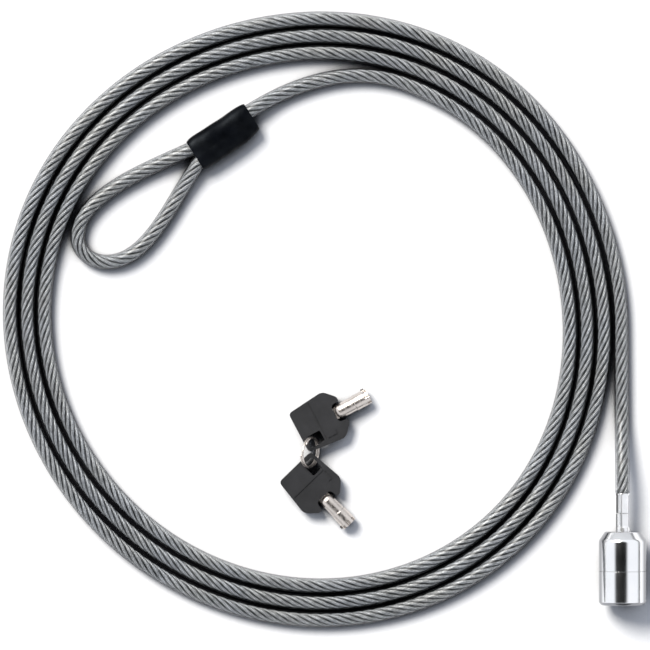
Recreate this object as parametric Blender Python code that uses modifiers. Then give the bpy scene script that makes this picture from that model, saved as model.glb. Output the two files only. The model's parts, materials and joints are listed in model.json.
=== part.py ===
"""Laptop cable lock: a coiled, clear-jacketed wire rope with a crimped eye at one end, a barrel lock head
that closes on a swivelling stud at the other end, and two tubular keys on a split ring.

Lengths are in millimetres, from the coil's centre on the table: +X to the lock side, +Y from the lock
along its cable, +Z up. The last step moves everything so that the origin is under the middle of the lock.
"""
import math

import bmesh
import bpy
from mathutils import Matrix, Vector

MM = 0.001

# ---------------------------------------------------------------- driving dimensions (mm, degrees)
MIDDLE = (4.08, 1.50, 0.0)   # middle of the whole lock's footprint, from the coil's centre

CABLE_R = 2.3            # clear jacket, outside
JACKET_WALL = 0.35
ROPE_R = 1.72            # wire rope
COIL_R0 = 97.57          # centreline radius where the lock lead meets the coil
COIL_PITCH = 5.355       # centreline spacing of neighbouring turns
COIL_END = 1148.0        # degrees of winding
COIL_STEP = 7.5          # degrees between path points
# a coil wound by hand isn't quite round: (cosine, sine) of 1, 2, 3 and 4 waves a turn
COIL_WOBBLE = ((0.72, 0.30), (0.10, -0.79), (-0.74, 0.14), (-0.18, -0.21))
WOBBLE_RUN = 30.0        # degrees over which the wobble sets in
BEND_GAP = 0.7           # half the gap left in the rope at a flexing point

HEAD_X = 97.80           # lock head's axis
HEAD_Y0 = -88.36         # keyway face
HEAD_R = 7.5
HEAD_L = 23.1

LEAD_Y = -53.1           # the jacket's end at the crimp sleeve
LEAD_SLOPE = 0.0087      # sideways slope of the lock lead where it leaves the coil
LEAD_RISE_Y = -27.0      # where the lock lead starts to rise
LEAD_RISE_RUN = 23.0
LOCK_BEND_Y = -24.0      # where the lock lead flexes
ROPE_IN_SLEEVE = 3.3     # rope past the jacket's end

# ---------------------------------------------------------------- scene and materials
for old in list(bpy.data.objects):
    bpy.data.objects.remove(old, do_unlink=True)
for old in list(bpy.data.collections):
    bpy.data.collections.remove(old)

parts = bpy.data.collections.new("laptop_cable_lock")
helpers = bpy.data.collections.new("cutters")
bpy.context.scene.collection.children.link(parts)
bpy.context.scene.collection.children.link(helpers)

# name: (base colour, roughness, metallic)
MATERIALS = {
    "rope_steel": ((0.60, 0.61, 0.61), 0.35, 1.0),
    "clear_pvc": ((0.86, 0.88, 0.90), 0.08, 0.0),
    "chrome": ((0.86, 0.87, 0.88), 0.06, 1.0),
    "swaged_steel": ((0.78, 0.79, 0.80), 0.18, 1.0),
    "aluminium": ((0.70, 0.70, 0.71), 0.35, 1.0),
    "black_sleeve": ((0.012, 0.012, 0.014), 0.40, 0.0),
    "brass": ((0.72, 0.56, 0.28), 0.30, 1.0),
    "spring_steel": ((0.55, 0.55, 0.57), 0.30, 1.0),
    "hardened_steel": ((0.42, 0.42, 0.44), 0.25, 1.0),
    "black_plastic": ((0.045, 0.045, 0.050), 0.55, 0.0),
    "nickel": ((0.80, 0.76, 0.72), 0.22, 1.0),
}


def material(name):
    found = bpy.data.materials.get(name)
    if found:
        return found
    colour, roughness, metallic = MATERIALS[name]
    made = bpy.data.materials.new(name)
    made.use_nodes = True
    shader = made.node_tree.nodes["Principled BSDF"]
    shader.inputs["Base Color"].default_value = (*colour, 1.0)
    shader.inputs["Roughness"].default_value = roughness
    shader.inputs["Metallic"].default_value = metallic
    made.diffuse_color = (*colour, 1.0)
    return made


# ---------------------------------------------------------------- objects and modifiers
def add(name, data, mat=None, parent=None):
    obj = bpy.data.objects.new(name, data)
    parts.objects.link(obj)
    obj.parent = parent
    if mat:
        data.materials.append(material(mat))
    return obj


def pose(obj, location=(0, 0, 0), rotation=(0, 0, 0)):
    """Places an object in its parent's frame, in mm and degrees."""
    obj.location = Vector(location) * MM
    obj.rotation_euler = [math.radians(angle) for angle in rotation]
    return obj


def empty(name, location=(0, 0, 0), rotation=(0, 0, 0), parent=None):
    return pose(add(name, None, parent=parent), location, rotation)


def cutter(obj):
    """Moves an object to the helpers, as a boolean's tool."""
    parts.objects.unlink(obj)
    helpers.objects.link(obj)
    obj.hide_render = True
    obj.display_type = "WIRE"
    return obj


def boolean(obj, tool, operation="DIFFERENCE"):
    modifier = obj.modifiers.new(operation.lower(), "BOOLEAN")
    modifier.operation = operation
    modifier.object = tool
    modifier.solver = "EXACT"


def bevel(obj, width, segments=1):
    modifier = obj.modifiers.new("edge", "BEVEL")
    modifier.width = width * MM
    modifier.segments = segments
    modifier.limit_method = "ANGLE"
    modifier.angle_limit = math.radians(60)


def smooth(mesh, angle=40):
    mesh.shade_smooth()
    mesh.set_sharp_from_angle(angle=math.radians(angle))


def to_mesh(bm, name):
    mesh = bpy.data.meshes.new(name)
    bm.to_mesh(mesh)
    bm.free()
    return mesh


# ---------------------------------------------------------------- basic shapes (mm)
def turned(name, profile, mat, parent, steps=32, closed=True):
    """A profile of (radius, height), listed down its outer side, spun about the local Z axis."""
    mesh = bpy.data.meshes.new(name)
    count = len(profile)
    edges = [(i, i + 1) for i in range(count - 1)]
    if closed:
        edges.append((count - 1, 0))
    mesh.from_pydata([(radius * MM, 0, z * MM) for radius, z in profile], edges, [])
    obj = add(name, mesh, mat, parent)
    screw = obj.modifiers.new("turn", "SCREW")
    screw.angle = math.tau
    screw.steps = screw.render_steps = steps
    screw.axis = "Z"
    screw.use_merge_vertices = True
    screw.merge_threshold = 1e-6
    screw.use_smooth_shade = True
    return obj


def cylinder(name, radius, z0, z1, mat=None, parent=None, at=(0, 0), sides=16):
    """A cylinder along local Z, its axis at the given (x, y)."""
    bm = bmesh.new()
    bmesh.ops.create_cone(
        bm, cap_ends=True, segments=sides, radius1=radius * MM, radius2=radius * MM, depth=(z1 - z0) * MM
    )
    bmesh.ops.translate(bm, verts=bm.verts, vec=Vector((*at, (z0 + z1) / 2)) * MM)
    mesh = to_mesh(bm, name)
    smooth(mesh)
    return add(name, mesh, mat, parent)


def block_cutter(name, size, centre, parent):
    bm = bmesh.new()
    bmesh.ops.create_cube(bm, size=1.0)
    bmesh.ops.scale(bm, verts=bm.verts, vec=Vector(size) * MM)
    bmesh.ops.translate(bm, verts=bm.verts, vec=Vector(centre) * MM)
    return cutter(add(name, to_mesh(bm, name), parent=parent))


def as_mesh(curve_obj):
    """Replaces an unplaced curve object by a mesh of its surface, its caps welded."""
    bpy.context.view_layer.update()
    graph = bpy.context.evaluated_depsgraph_get()
    mesh = bpy.data.meshes.new_from_object(curve_obj.evaluated_get(graph))
    bm = bmesh.new()
    bm.from_mesh(mesh)
    bmesh.ops.remove_doubles(bm, verts=bm.verts, dist=1e-7)
    bm.to_mesh(mesh)
    bm.free()
    name = curve_obj.name
    parent = curve_obj.parent
    bpy.data.objects.remove(curve_obj, do_unlink=True)
    return add(name, mesh, parent=parent)


def add_spline(data, points):
    spline = data.splines.new("POLY")
    spline.points.add(len(points) - 1)
    for target, point in zip(spline.points, points):
        target.co = (*(Vector(point) * MM), 1)
    return spline


def wire(name, points, radius, mat, parent, resolution, caps=True):
    data = bpy.data.curves.new(name, "CURVE")
    data.dimensions = "3D"
    data.twist_mode = "Z_UP"
    data.bevel_depth = radius * MM
    data.bevel_resolution = resolution
    data.use_fill_caps = caps
    add_spline(data, points)
    return add(name, data, mat, parent)


def plate(name, loops, thickness, mat=None, parent=None):
    """Flat outlines, the first one outside and the rest holes, as a plate about its middle plane."""
    data = bpy.data.curves.new(name, "CURVE")
    data.dimensions = "2D"
    data.fill_mode = "BOTH"
    data.extrude = thickness / 2 * MM
    for loop in loops:
        add_spline(data, [(x, y, 0) for x, y in loop]).use_cyclic_u = True
    return as_mesh(add(name, data, mat, parent))


def ease(t):
    t = max(0.0, min(1.0, t))
    return t * t * (3 - 2 * t)


def bezier(start, handle_0, handle_1, end, count):
    """Points from just after the start up to the end, in the plane."""
    points = []
    for i in range(1, count + 1):
        t = i / count
        u = 1 - t
        points.append(start * u**3 + handle_0 * (3 * u * u * t) + handle_1 * (3 * u * t * t) + end * t**3)
    return points


def direction(degrees):
    return Vector((math.cos(math.radians(degrees)), math.sin(math.radians(degrees))))


def arc(radius_at, start, stop, count):
    """Points at count + 1 even angles in degrees, the radius given by the angle."""
    angles = [start + (stop - start) * i / count for i in range(count + 1)]
    return [tuple(direction(angle) * radius_at(angle)) for angle in angles]


# ---------------------------------------------------------------- the cable's centreline
EYE_A = Vector((-19.7, 66.8))      # standing rope enters the cover
EYE_B = Vector((-38.0, 55.0))      # standing rope leaves it for the eye
EYE_Z = 3.35                       # rope height inside the cover
EYE_GAP = 4.72                     # centre distance of the two ropes in the ferrule
EYE_RISE_RUN = 13.0                # distance from the cover over which the rope rises
EYE_LEFT = Vector((-73.7, 27.5))   # the eye's -X extreme
EYE_LOW = Vector((-64.6, 19.5))    # the eye's -Y extreme
RETURN_ANGLE = 55.6                # heading of the rope as it returns to the cover
STUB = 15.5                        # length of returning rope inside the cover
BEND_INDEX = 6                     # point of to_eye where the eye lead flexes

EYE_DIR = (EYE_B - EYE_A).normalized()
EYE_SIDE = Vector((EYE_DIR.y, -EYE_DIR.x))     # from the returning rope to the standing one
COVER_L = (EYE_B - EYE_A).length
EYE_END = EYE_B - EYE_SIDE * EYE_GAP           # the returning rope meets the cover


def at_height(point, z=CABLE_R):
    return Vector((*point, z))


def lead_point(y):
    """Lock lead: straight on from the coil, easing parallel to Y and up to the lock head's axis."""
    x = COIL_R0 - LEAD_SLOPE * y + LEAD_SLOPE * y * y / (2 * LEAD_Y)
    return Vector((x, y, CABLE_R + (HEAD_R - CABLE_R) * ease((LEAD_RISE_Y - y) / LEAD_RISE_RUN)))


def coil_point(degrees):
    angle = math.radians(degrees)
    wobble = sum(
        c * math.cos(waves * angle) + s * math.sin(waves * angle) for waves, (c, s) in enumerate(COIL_WOBBLE, 1)
    )
    radius = COIL_R0 - COIL_PITCH * degrees / 360.0 + wobble * ease(degrees / WOBBLE_RUN)
    return at_height(direction(degrees) * radius)


def lift(point):
    """Raises a point of the rope by its distance to the nearest of the cover's three mouths."""
    near = min((point - mouth).length for mouth in (EYE_A, EYE_B, EYE_END))
    return at_height(point, CABLE_R + (EYE_Z - CABLE_R) * ease(1 - near / EYE_RISE_RUN))


coil_end = coil_point(COIL_END).to_2d()
to_eye = bezier(coil_end, coil_end + direction(COIL_END + 90) * 17.3, EYE_A - EYE_DIR * 18.9, EYE_A, 28)
eye_loop = (
    bezier(EYE_B, EYE_B + Vector((-12.8, -5.7)), EYE_LEFT + Vector((0, 13)), EYE_LEFT, 13)
    + bezier(EYE_LEFT, EYE_LEFT + Vector((0, -4.6)), EYE_LOW + Vector((-5.2, 0)), EYE_LOW, 5)
    + bezier(EYE_LOW, EYE_LOW + Vector((13, 0)), EYE_END - direction(RETURN_ANGLE) * 16, EYE_END, 12)
)
lock_bend = lead_point(LOCK_BEND_Y)
eye_bend = at_height(to_eye[BEND_INDEX])
eye_bend_gap = at_height((to_eye[BEND_INDEX + 1] - to_eye[BEND_INDEX - 1]).normalized() * BEND_GAP, 0)


# ---------------------------------------------------------------- rope and jacket
def rope_and_jacket(suffix, rope_path, jacket_path, pivot=None, origin=Vector((0, 0, 0))):
    """Rope and clear jacket along their paths. A pivot is an empty at the point where the cable flexes."""
    rope_path = [point - origin for point in rope_path]
    jacket_path = [point - origin for point in jacket_path]
    wire("wire_rope_" + suffix, rope_path, ROPE_R, "rope_steel", pivot, resolution=1)
    jacket = as_mesh(
        wire("clear_jacket_" + suffix, jacket_path, CABLE_R, "clear_pvc", pivot, resolution=2, caps=False)
    )
    wall = jacket.modifiers.new("wall", "SOLIDIFY")
    wall.thickness = JACKET_WALL * MM
    wall.offset = -1
    wall.use_even_offset = True
    smooth(jacket.data)


def coil_cable():
    path = [lead_point(y) for y in (LOCK_BEND_Y + BEND_GAP, -14.0, -6.0)]
    path += [coil_point(i * COIL_STEP) for i in range(int(COIL_END // COIL_STEP) + 1)]
    path += [at_height(point) for point in to_eye[1 : BEND_INDEX - 1 : 2]]
    path.append(eye_bend - eye_bend_gap)
    rope_and_jacket("coil", path, path)


def lock_lead_cable():
    pivot = empty("lock_lead_pivot", lock_bend)
    path = [lead_point(y) for y in (LOCK_BEND_Y - BEND_GAP, -28, -31, -34, -37, -40, -43, -46, -49.5)]
    path.append(Vector((HEAD_X, LEAD_Y, HEAD_R)))
    rope_end = Vector((HEAD_X, LEAD_Y - ROPE_IN_SLEEVE, HEAD_R))
    rope_and_jacket("lock_lead", path + [rope_end], path, pivot, lock_bend)


def eye_cable(pivot):
    path = [eye_bend + eye_bend_gap]
    path += [lift(point) for point in to_eye[BEND_INDEX + 2 :: 2]]
    path += [at_height(EYE_A + EYE_DIR * COVER_L * k / 3, EYE_Z) for k in (1, 2, 3)]
    path += [lift(point) for point in eye_loop]
    path += [at_height(EYE_END - EYE_DIR * STUB * k / 2, EYE_Z) for k in (1, 2)]
    rope_and_jacket("eye", path, path, pivot, eye_bend)


coil_cable()
lock_lead_cable()
eye_pivot = empty("eye_lead_pivot", eye_bend)
eye_cable(eye_pivot)

# ---------------------------------------------------------------- the eye's ferrule and cover
# The eye frame: local X along the cover from the standing rope's entry, local Y across the two ropes.
STANDING_Y = -EYE_GAP / 2
FERRULE_X = (7.6, 20.2)
FERRULE_HALF_W = 5.25
FERRULE_EDGE_R = 2.9
POCKET_X = (7.4, 24)
POCKET_FIT = 0.1         # pocket's clearance round the ferrule
FERRULE_BORE_R = CABLE_R + 0.07
COVER_BORE_R = CABLE_R + 0.08
COVER_TAPER = 8.0        # the cover widens over this length
COVER_HALF_W = (4.3, 1.35)     # at the entry, and what the taper adds
COVER_HALF_T = (3.1, 0.2)
COVER_SHIFT = STANDING_Y + 0.8   # centre offset at the entry
COVER_STATIONS = (0, 1.2, 3.0, 5.0, 7.0, 9.0, 14.5, 20.0, COVER_L)
COVER_SIDES = 20

eye_frame = empty(
    "eye_frame",
    at_height(EYE_A - EYE_SIDE * EYE_GAP / 2, EYE_Z) - eye_bend,
    (0, 0, math.degrees(math.atan2(EYE_DIR.y, EYE_DIR.x))),
    eye_pivot,
)


def stadium(name, x_span, half_width, radius, mat=None, steps=8):
    """A stadium bar along local X of the eye frame, the flat sides of its section along Y."""
    loop = []
    for side in (1, -1):
        for k in range(steps + 1):
            angle = math.pi * k / steps
            across = half_width - radius + radius * math.sin(angle)
            loop.append((side * across, side * radius * math.cos(angle)))
    x0, x1 = x_span
    bar = plate(name, [loop], x1 - x0, mat, eye_frame)
    return pose(bar, ((x0 + x1) / 2, 0, 0), (90, 0, 90))


def rope_bore(name, radius, x0, x1, y):
    return cutter(pose(cylinder(name, radius, x0, x1, parent=eye_frame), (0, y, 0), (0, 90, 0)))


def cover_section(x):
    """A rounded oval across the cover at x."""
    t = ease(x / COVER_TAPER)
    half_w = COVER_HALF_W[0] + COVER_HALF_W[1] * t
    half_t = COVER_HALF_T[0] + COVER_HALF_T[1] * t
    centre = COVER_SHIFT * (1 - t)
    points = []
    for k in range(COVER_SIDES):
        angle = math.tau * k / COVER_SIDES
        c = math.cos(angle)
        s = math.sin(angle)
        y = half_w * math.copysign(abs(c) ** 0.75, c)
        z = half_t * math.copysign(abs(s) ** 0.75, s)
        points.append((x * MM, (centre + y) * MM, z * MM))
    return points


def eye_ferrule():
    ferrule = stadium("eye_ferrule", FERRULE_X, FERRULE_HALF_W, FERRULE_EDGE_R, "aluminium")
    for k, y in enumerate((STANDING_Y, -STANDING_Y)):
        boolean(ferrule, rope_bore(f"ferrule_bore_{k}", FERRULE_BORE_R, -2, 24, y))
    bevel(ferrule, 0.25)


def eye_cover():
    bm = bmesh.new()
    rings = [[bm.verts.new(point) for point in cover_section(x)] for x in COVER_STATIONS]
    for ring, following in zip(rings, rings[1:]):
        for k in range(COVER_SIDES):
            beside = (k + 1) % COVER_SIDES
            bm.faces.new((ring[k], ring[beside], following[beside], following[k]))
    bm.faces.new(rings[0])
    bm.faces.new(list(reversed(rings[-1])))
    bmesh.ops.recalc_face_normals(bm, faces=bm.faces)
    mesh = to_mesh(bm, "eye_cover")
    smooth(mesh)
    cover = add("eye_cover", mesh, "black_sleeve", eye_frame)

    pocket = stadium(
        "cover_ferrule_pocket", POCKET_X, FERRULE_HALF_W + POCKET_FIT, FERRULE_EDGE_R + POCKET_FIT
    )
    boolean(cover, cutter(pocket))
    boolean(cover, rope_bore("cover_rope_way", COVER_BORE_R, -3, 12, STANDING_Y))
    boolean(cover, rope_bore("cover_stub_way", COVER_BORE_R, 5.6, 12, -STANDING_Y))


eye_ferrule()
eye_cover()

# ---------------------------------------------------------------- the lock head
# Its local Z, the height w from the keyway face, lies along +Y. Its local -Y is up.
SEAM_W = 10.6            # seam between collar and body
SEAM_GAP = 0.08
SHOULDER_R = 5.6         # flat end of the head, on the cable's side
SHOULDER_H = 2.8         # height of the shoulder cone
STUD_R = 1.95
STUD_COLLAR_R = 2.2      # the stud's shank outside the head
NECK_R = 2.28            # the hole it enters by
BALL_R = 0.9
BALL_W = 17.2            # the balls' plane
BALL_OUT = 2.93          # ball centre radius when the stud is free
WINDOW_R = 0.99          # ball windows in the cage
SHEAR_W = 7.45           # shear plane
SHEAR_GAP = 0.05         # from the shear plane to the spindle, and to the bushing
KEYHOLE_R = 2.62
POST_R = 1.55
INDEX_W = 0.62           # width of the post's index groove and of the key's lug

PIN_RING_R = 2.1         # circle of the tumbler pins
PIN_R = 0.42
PIN_HOLE_R = 0.50
PIN_COUNT = 8            # eight places, the first of which is the key's index
PIN_TRAVEL = (0.5, 1.1, 0.8, 0.5, 0.8, 1.1, 0.5)
PIN_SHEAR_GAP = 0.1      # from the shear plane to a pin's end
PIN_EDGE = 0.1
SPRING_R = 0.32
SPRING_WIRE = 0.09
SPRING_W0 = 9.45
SPRING_L = 3.1
SPRING_TURNS = 4.5
SPRING_STEPS = 7         # points a turn

BUSHING_PIN_W = 11.9
CLIP_W = 13.67
CAM_R = 5.4
CAM_BASE_W = 14.75       # middle of the cam's base
CAM_BASE_T = 1.1
CAM_WALL_W = 16.95       # middle of the cam's wall
CAM_WALL_T = 4.0
CAM_OVERLAP = 0.35       # the wall reaches down into the base, so that the union is clean
CAM_POCKET_R = 3.95      # inner radius where the balls are free
CAM_SHUT_R = 3.4         # inner radius where they are driven in

# Profiles are (radius, w) points.
CRIMP_SLEEVE = [
    (2.05, 35.15), (2.2, 35.0), (2.2, 29.1), (2.05, 28.95), (1.03, 28.95), (1.03, 29.9),
    (1.7, 29.9), (1.7, 31.6), (1.85, 31.75), (1.85, 35.15),
]
SWIVEL_STUD = [
    (0, 31.3), (1.3, 31.3), (1.5, 31.1), (1.5, 30.1), (0.95, 30.0), (0.95, 28.85), (2.05, 28.8),
    (STUD_COLLAR_R, 28.65), (STUD_COLLAR_R, 20.6), (2.05, 20.45), (STUD_R, 20.45),
    # the groove for the balls
    (STUD_R, BALL_W + 0.95), (1.5, BALL_W + 0.75), (1.3, BALL_W + 0.4),
    (1.3, BALL_W - 0.4), (1.5, BALL_W - 0.75), (STUD_R, BALL_W - 0.95),
    (STUD_R, 16.0), (1.3, 15.75), (0, 15.75),
]
LOCK_BODY = [
    (SHOULDER_R, HEAD_L), (HEAD_R, HEAD_L - SHOULDER_H), (HEAD_R, SEAM_W + SEAM_GAP),
    (6.3, SEAM_W + SEAM_GAP), (6.3, 14.0), (6.05, 14.0), (6.05, 20.25), (NECK_R, 20.25),
    (NECK_R, HEAD_L),
]
LOCK_COLLAR = [
    (6.15, 13.7), (6.15, SEAM_W), (HEAD_R, SEAM_W), (HEAD_R, 0.9), (6.7, 0), (KEYHOLE_R, 0),
    (KEYHOLE_R, 4.4), (3.83, 4.4), (3.83, SHEAR_W), (4.75, SHEAR_W), (4.75, 13.7),
]
SPINDLE = [
    (0, 14.05), (1.35, 14.05), (1.35, 13.95), (1.05, 13.95), (1.05, 13.4), (1.35, 13.4),
    (1.35, SHEAR_W - SHEAR_GAP), (3.75, SHEAR_W - SHEAR_GAP), (3.75, 4.5), (POST_R, 4.5),
    (POST_R, 0.55), (1.35, 0.35), (0, 0.35),
]
PIN_BUSHING = [
    (4.62, 13.2), (4.62, SHEAR_W + SHEAR_GAP), (1.42, SHEAR_W + SHEAR_GAP), (1.42, 13.2),
]
BALL_CAGE = [
    (5.9, 19.2), (5.9, 20.12), (2.06, 20.12), (2.06, 15.55), (3.3, 15.55), (3.3, 19.2),
]

head = empty("lock_axis", (HEAD_X, HEAD_Y0, HEAD_R), (-90, 0, 0))


def tumbler_place(k, radius):
    return tuple(direction(-90 + 360.0 * k / PIN_COUNT) * radius)


def lock_shell():
    """Body and collar; returns the collar."""
    turned("lock_body", LOCK_BODY, "chrome", head, steps=48)
    collar = turned("lock_collar", LOCK_COLLAR, "chrome", head, steps=48)
    # notch for the key's lug, at the top of the head
    boolean(collar, block_cutter("keyhole_index", (1.05, 3.6, 5.2), (0, -1.75, 1.9), head))
    return collar


def lock_spindle():
    spindle = turned("spindle", SPINDLE, "brass", head, closed=False)
    boolean(spindle, block_cutter("post_index", (INDEX_W, 0.8, 4.3), (0, -POST_R, 2.1), head))
    boolean(spindle, block_cutter("spindle_tail", (1.8, 1.8, 1.5), (0, 0, 14.65), head), "UNION")
    return spindle


def pinned_bushing(collar):
    """Bushing and its cross pin, with one hole for the pin through collar and bushing."""
    hole = cylinder("bushing_pin_hole", 0.62, 2.9, 7.0, parent=head, sides=12)
    cutter(pose(hole, (0, 0, BUSHING_PIN_W), (90, 0, 0)))
    boolean(collar, hole)
    bushing = turned("pin_bushing", PIN_BUSHING, "brass", head)
    boolean(bushing, hole)
    pin = cylinder("bushing_pin", 0.5, 3.1, 6.0, "hardened_steel", head, sides=12)
    pose(pin, (0, 0, BUSHING_PIN_W), (90, 0, 0))
    return bushing


def tumbler(k, spindle, bushing):
    """Key pin, driver pin and spring at place k, with their holes."""
    at = tumbler_place(k, PIN_RING_R)
    for name, obj, w0, w1 in (("spindle", spindle, 4.2, 7.8), ("bushing", bushing, 7.0, 12.7)):
        hole = cylinder(f"{name}_hole_{k}", PIN_HOLE_R, w0, w1, parent=head, at=at, sides=12)
        boolean(obj, cutter(hole))

    key_pin_top = SHEAR_W - PIN_SHEAR_GAP - PIN_TRAVEL[k - 1]
    for name, w0, w1, mat in (
        ("key_pin", 1.5, key_pin_top, "brass"),
        ("driver_pin", SHEAR_W + PIN_SHEAR_GAP, 9.25, "spring_steel"),
    ):
        pin = cylinder(f"{name}_{k}", PIN_R, w0, w1, mat, head, sides=12)
        bevel(pin, PIN_EDGE)
        pose(pin, (*at, 0))

    count = int(SPRING_TURNS * SPRING_STEPS)
    helix = [
        at_height(direction(360 * i / SPRING_STEPS) * SPRING_R, SPRING_W0 + SPRING_L * i / count)
        for i in range(count + 1)
    ]
    pose(wire(f"pin_spring_{k}", helix, SPRING_WIRE, "spring_steel", head, resolution=0), (*at, 0))


def spindle_clip():
    """Retaining clip in the spindle's groove, open on one side."""
    loop = arc(lambda _: 2.5, 40, 320, 18) + arc(lambda _: 1.15, 320, 40, 12)
    pose(plate("spindle_clip", [loop], 0.38, "spring_steel", head), (0, 0, CLIP_W))


def cam_radius(degrees):
    """Inner radius of the cam, twice round: a 90 degree ramp drives a ball in, then lets it out."""
    angle = degrees % 180.0
    rise = CAM_POCKET_R - CAM_SHUT_R
    if angle <= 90:
        return CAM_POCKET_R - rise * angle / 90
    if angle <= 118:
        return CAM_SHUT_R
    if angle <= 160:
        return CAM_SHUT_R + rise * (angle - 118) / 42
    return CAM_POCKET_R


def lock_cam():
    """A cup open towards the stud, with a square hole for the spindle's tail."""
    outer = arc(lambda _: CAM_R, 0, 360, 36)[:-1]
    inner = arc(cam_radius, 0, 360, 60)[:-1]
    cam = pose(plate("lock_cam", [outer], CAM_BASE_T, "hardened_steel", head), (0, 0, CAM_BASE_W))
    wall = pose(plate("cam_wall", [outer, inner], CAM_WALL_T, parent=head), (0, 0, CAM_WALL_W))
    for vertex in wall.data.vertices:
        if vertex.co.z < 0:
            vertex.co.z -= CAM_OVERLAP * MM
    boolean(cam, cutter(wall), "UNION")
    boolean(cam, block_cutter("cam_square", (2.0, 2.0, 3.0), (0, 0, CAM_BASE_W), head))


def caged_balls():
    """The ball cage, and two balls in its windows along the head's local X."""
    cage = turned("ball_cage", BALL_CAGE, "hardened_steel", head)
    window = cylinder("cage_window", WINDOW_R, -5, 5, parent=head)
    boolean(cage, cutter(pose(window, (0, 0, BALL_W), (0, 90, 0))))
    for name, side in (("lock_ball_a", 1), ("lock_ball_b", -1)):
        bm = bmesh.new()
        bmesh.ops.create_uvsphere(bm, u_segments=12, v_segments=8, radius=BALL_R * MM)
        mesh = to_mesh(bm, name)
        smooth(mesh, 80)
        pose(add(name, mesh, "hardened_steel", head), (side * BALL_OUT, 0, BALL_W))


def lock_head():
    # the sleeve on the rope has a swivel chamber that holds the stud's head
    turned("crimp_sleeve", CRIMP_SLEEVE, "swaged_steel", head, steps=24)
    turned("swivel_stud", SWIVEL_STUD, "swaged_steel", head, steps=24, closed=False)
    collar = lock_shell()
    spindle = lock_spindle()
    bushing = pinned_bushing(collar)
    for k in range(1, PIN_COUNT):
        tumbler(k, spindle, bushing)
    spindle_clip()
    lock_cam()
    caged_balls()


lock_head()

# ---------------------------------------------------------------- keys and ring
# A key's local frame: +X along the barrel to its tip, Z across the flat bow, origin at the bow's front edge.
BOW_FRONT = 0.0
BOW_BACK = -15.8
BOW_HALF_W = 8.1
BOW_T = 2.6
BARREL_R = 2.5
BORE_R = 1.7
BARREL_TIP = 9.2
CUT_RING_R = 2.35        # circle of the pin cuts in the barrel's tip
CUT_R = 0.55
CUT_MIN = 0.5            # depth of a cut before its pin's travel
SLOT_X0, SLOT_X1 = -14.4, -9.6      # the ring slot, near one rear corner
SLOT_Y0, SLOT_Y1 = 2.25, 6.1
SLOT_Z = 3.1             # height of the bows' middle at the slots
SLOT_INSET = 2.05        # the ring's place, in from the slot's rear outer corner
KEY_TILT = 1.5           # degrees; the rear is raised a little, as it rests on the ring
KEY_CLEARANCE = 0.03     # under the barrel's tip

RING_R = 4.7
RING_WIRE = 0.28
RING_TURNS = 1.9
RING_STEPS = 24          # points a turn
RING_WIRE_PITCH = 0.62   # spacing of the turns
RING_START = 100         # degrees
RING_LEAN = math.radians(30)
RING_MID = Vector((0.5, -40.5))    # where the ring crosses the bows' height
RING_CHORD = direction(84)         # from key 1's slot to key 2's
WEB = 4.2                          # from the ring's middle to a key's place on it

# (x, y, corner radius) round the bow: rear, +Y side, front with its notch, -Y side
BOW_CORNERS = [
    (BOW_BACK, -BOW_HALF_W + 1.2, 1.3), (BOW_BACK, BOW_HALF_W - 1.2, 1.3),
    (-3.3, BOW_HALF_W, 1.5), (BOW_FRONT, 4.5, 0.6),
    (BOW_FRONT, 3.2, 0.5), (-3.0, 2.9, 1.4), (-3.0, -2.9, 1.4), (BOW_FRONT, -3.2, 0.5),
    (BOW_FRONT, -4.5, 0.6), (-3.3, -BOW_HALF_W, 1.5),
]
SLOT_CORNERS = [
    (SLOT_X0, SLOT_Y0, 0.7), (SLOT_X1, SLOT_Y0, 0.7), (SLOT_X1, SLOT_Y1, 0.7), (SLOT_X0, SLOT_Y1, 0.7),
]
# (radius, distance along the barrel)
KEY_BARREL = [
    (0, 1.6), (BORE_R, 2.0), (BORE_R, BARREL_TIP), (BARREL_R - 0.2, BARREL_TIP),
    (BARREL_R, BARREL_TIP - 0.2), (BARREL_R, 4.1), (2.35, 3.9), (2.35, -1.2), (2.05, -2.0),
    (1.3, -2.5), (0, -2.6),
]


def rounded(corners, steps):
    """Polygon with its corners rounded: each corner is cut back by its radius."""
    points = []
    for i, (x, y, radius) in enumerate(corners):
        corner = Vector((x, y))
        before = Vector(corners[i - 1][:2])
        after = Vector(corners[(i + 1) % len(corners)][:2])
        start = corner + (before - corner).normalized() * radius
        end = corner + (after - corner).normalized() * radius
        for k in range(steps + 1):
            t = k / steps
            points.append(tuple(start * (1 - t) ** 2 + corner * 2 * t * (1 - t) + end * t * t))
    return points


def key_bow(index, frame):
    loops = [rounded(BOW_CORNERS, 3), rounded(SLOT_CORNERS, 2)]
    bow = plate(f"key_{index}_bow", loops, BOW_T, "black_plastic", frame)
    bevel(bow, 0.3, segments=2)
    boolean(bow, block_cutter(f"tang_pocket_{index}", (8.0, 4.2, 1.4), (-6.0, 0, 0), frame))


def key_barrel(index, frame):
    """Barrel with its tang and lug, turned so that local Z is the key's +X."""
    turn = empty(f"key_{index}_turn", rotation=(0, 90, 0), parent=frame)
    barrel = turned(f"key_{index}_barrel", KEY_BARREL, "nickel", turn, closed=False)
    tang = block_cutter(f"tang_{index}", (1.1, 3.8, 7.4), (0, 0, -5.6), turn)
    lug = block_cutter(f"lug_{index}", (INDEX_W, 0.9, 1.0), (0, -2.55, BARREL_TIP - 1.1), turn)
    boolean(barrel, tang, "UNION")
    boolean(barrel, lug, "UNION")
    for k in range(1, PIN_COUNT):
        bottom = BARREL_TIP - CUT_MIN - PIN_TRAVEL[k - 1]
        at = tumbler_place(k, CUT_RING_R)
        cut = cylinder(f"cut_{index}_{k}", CUT_R, bottom, BARREL_TIP + 1, parent=turn, at=at, sides=10)
        boolean(barrel, cutter(cut))


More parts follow.
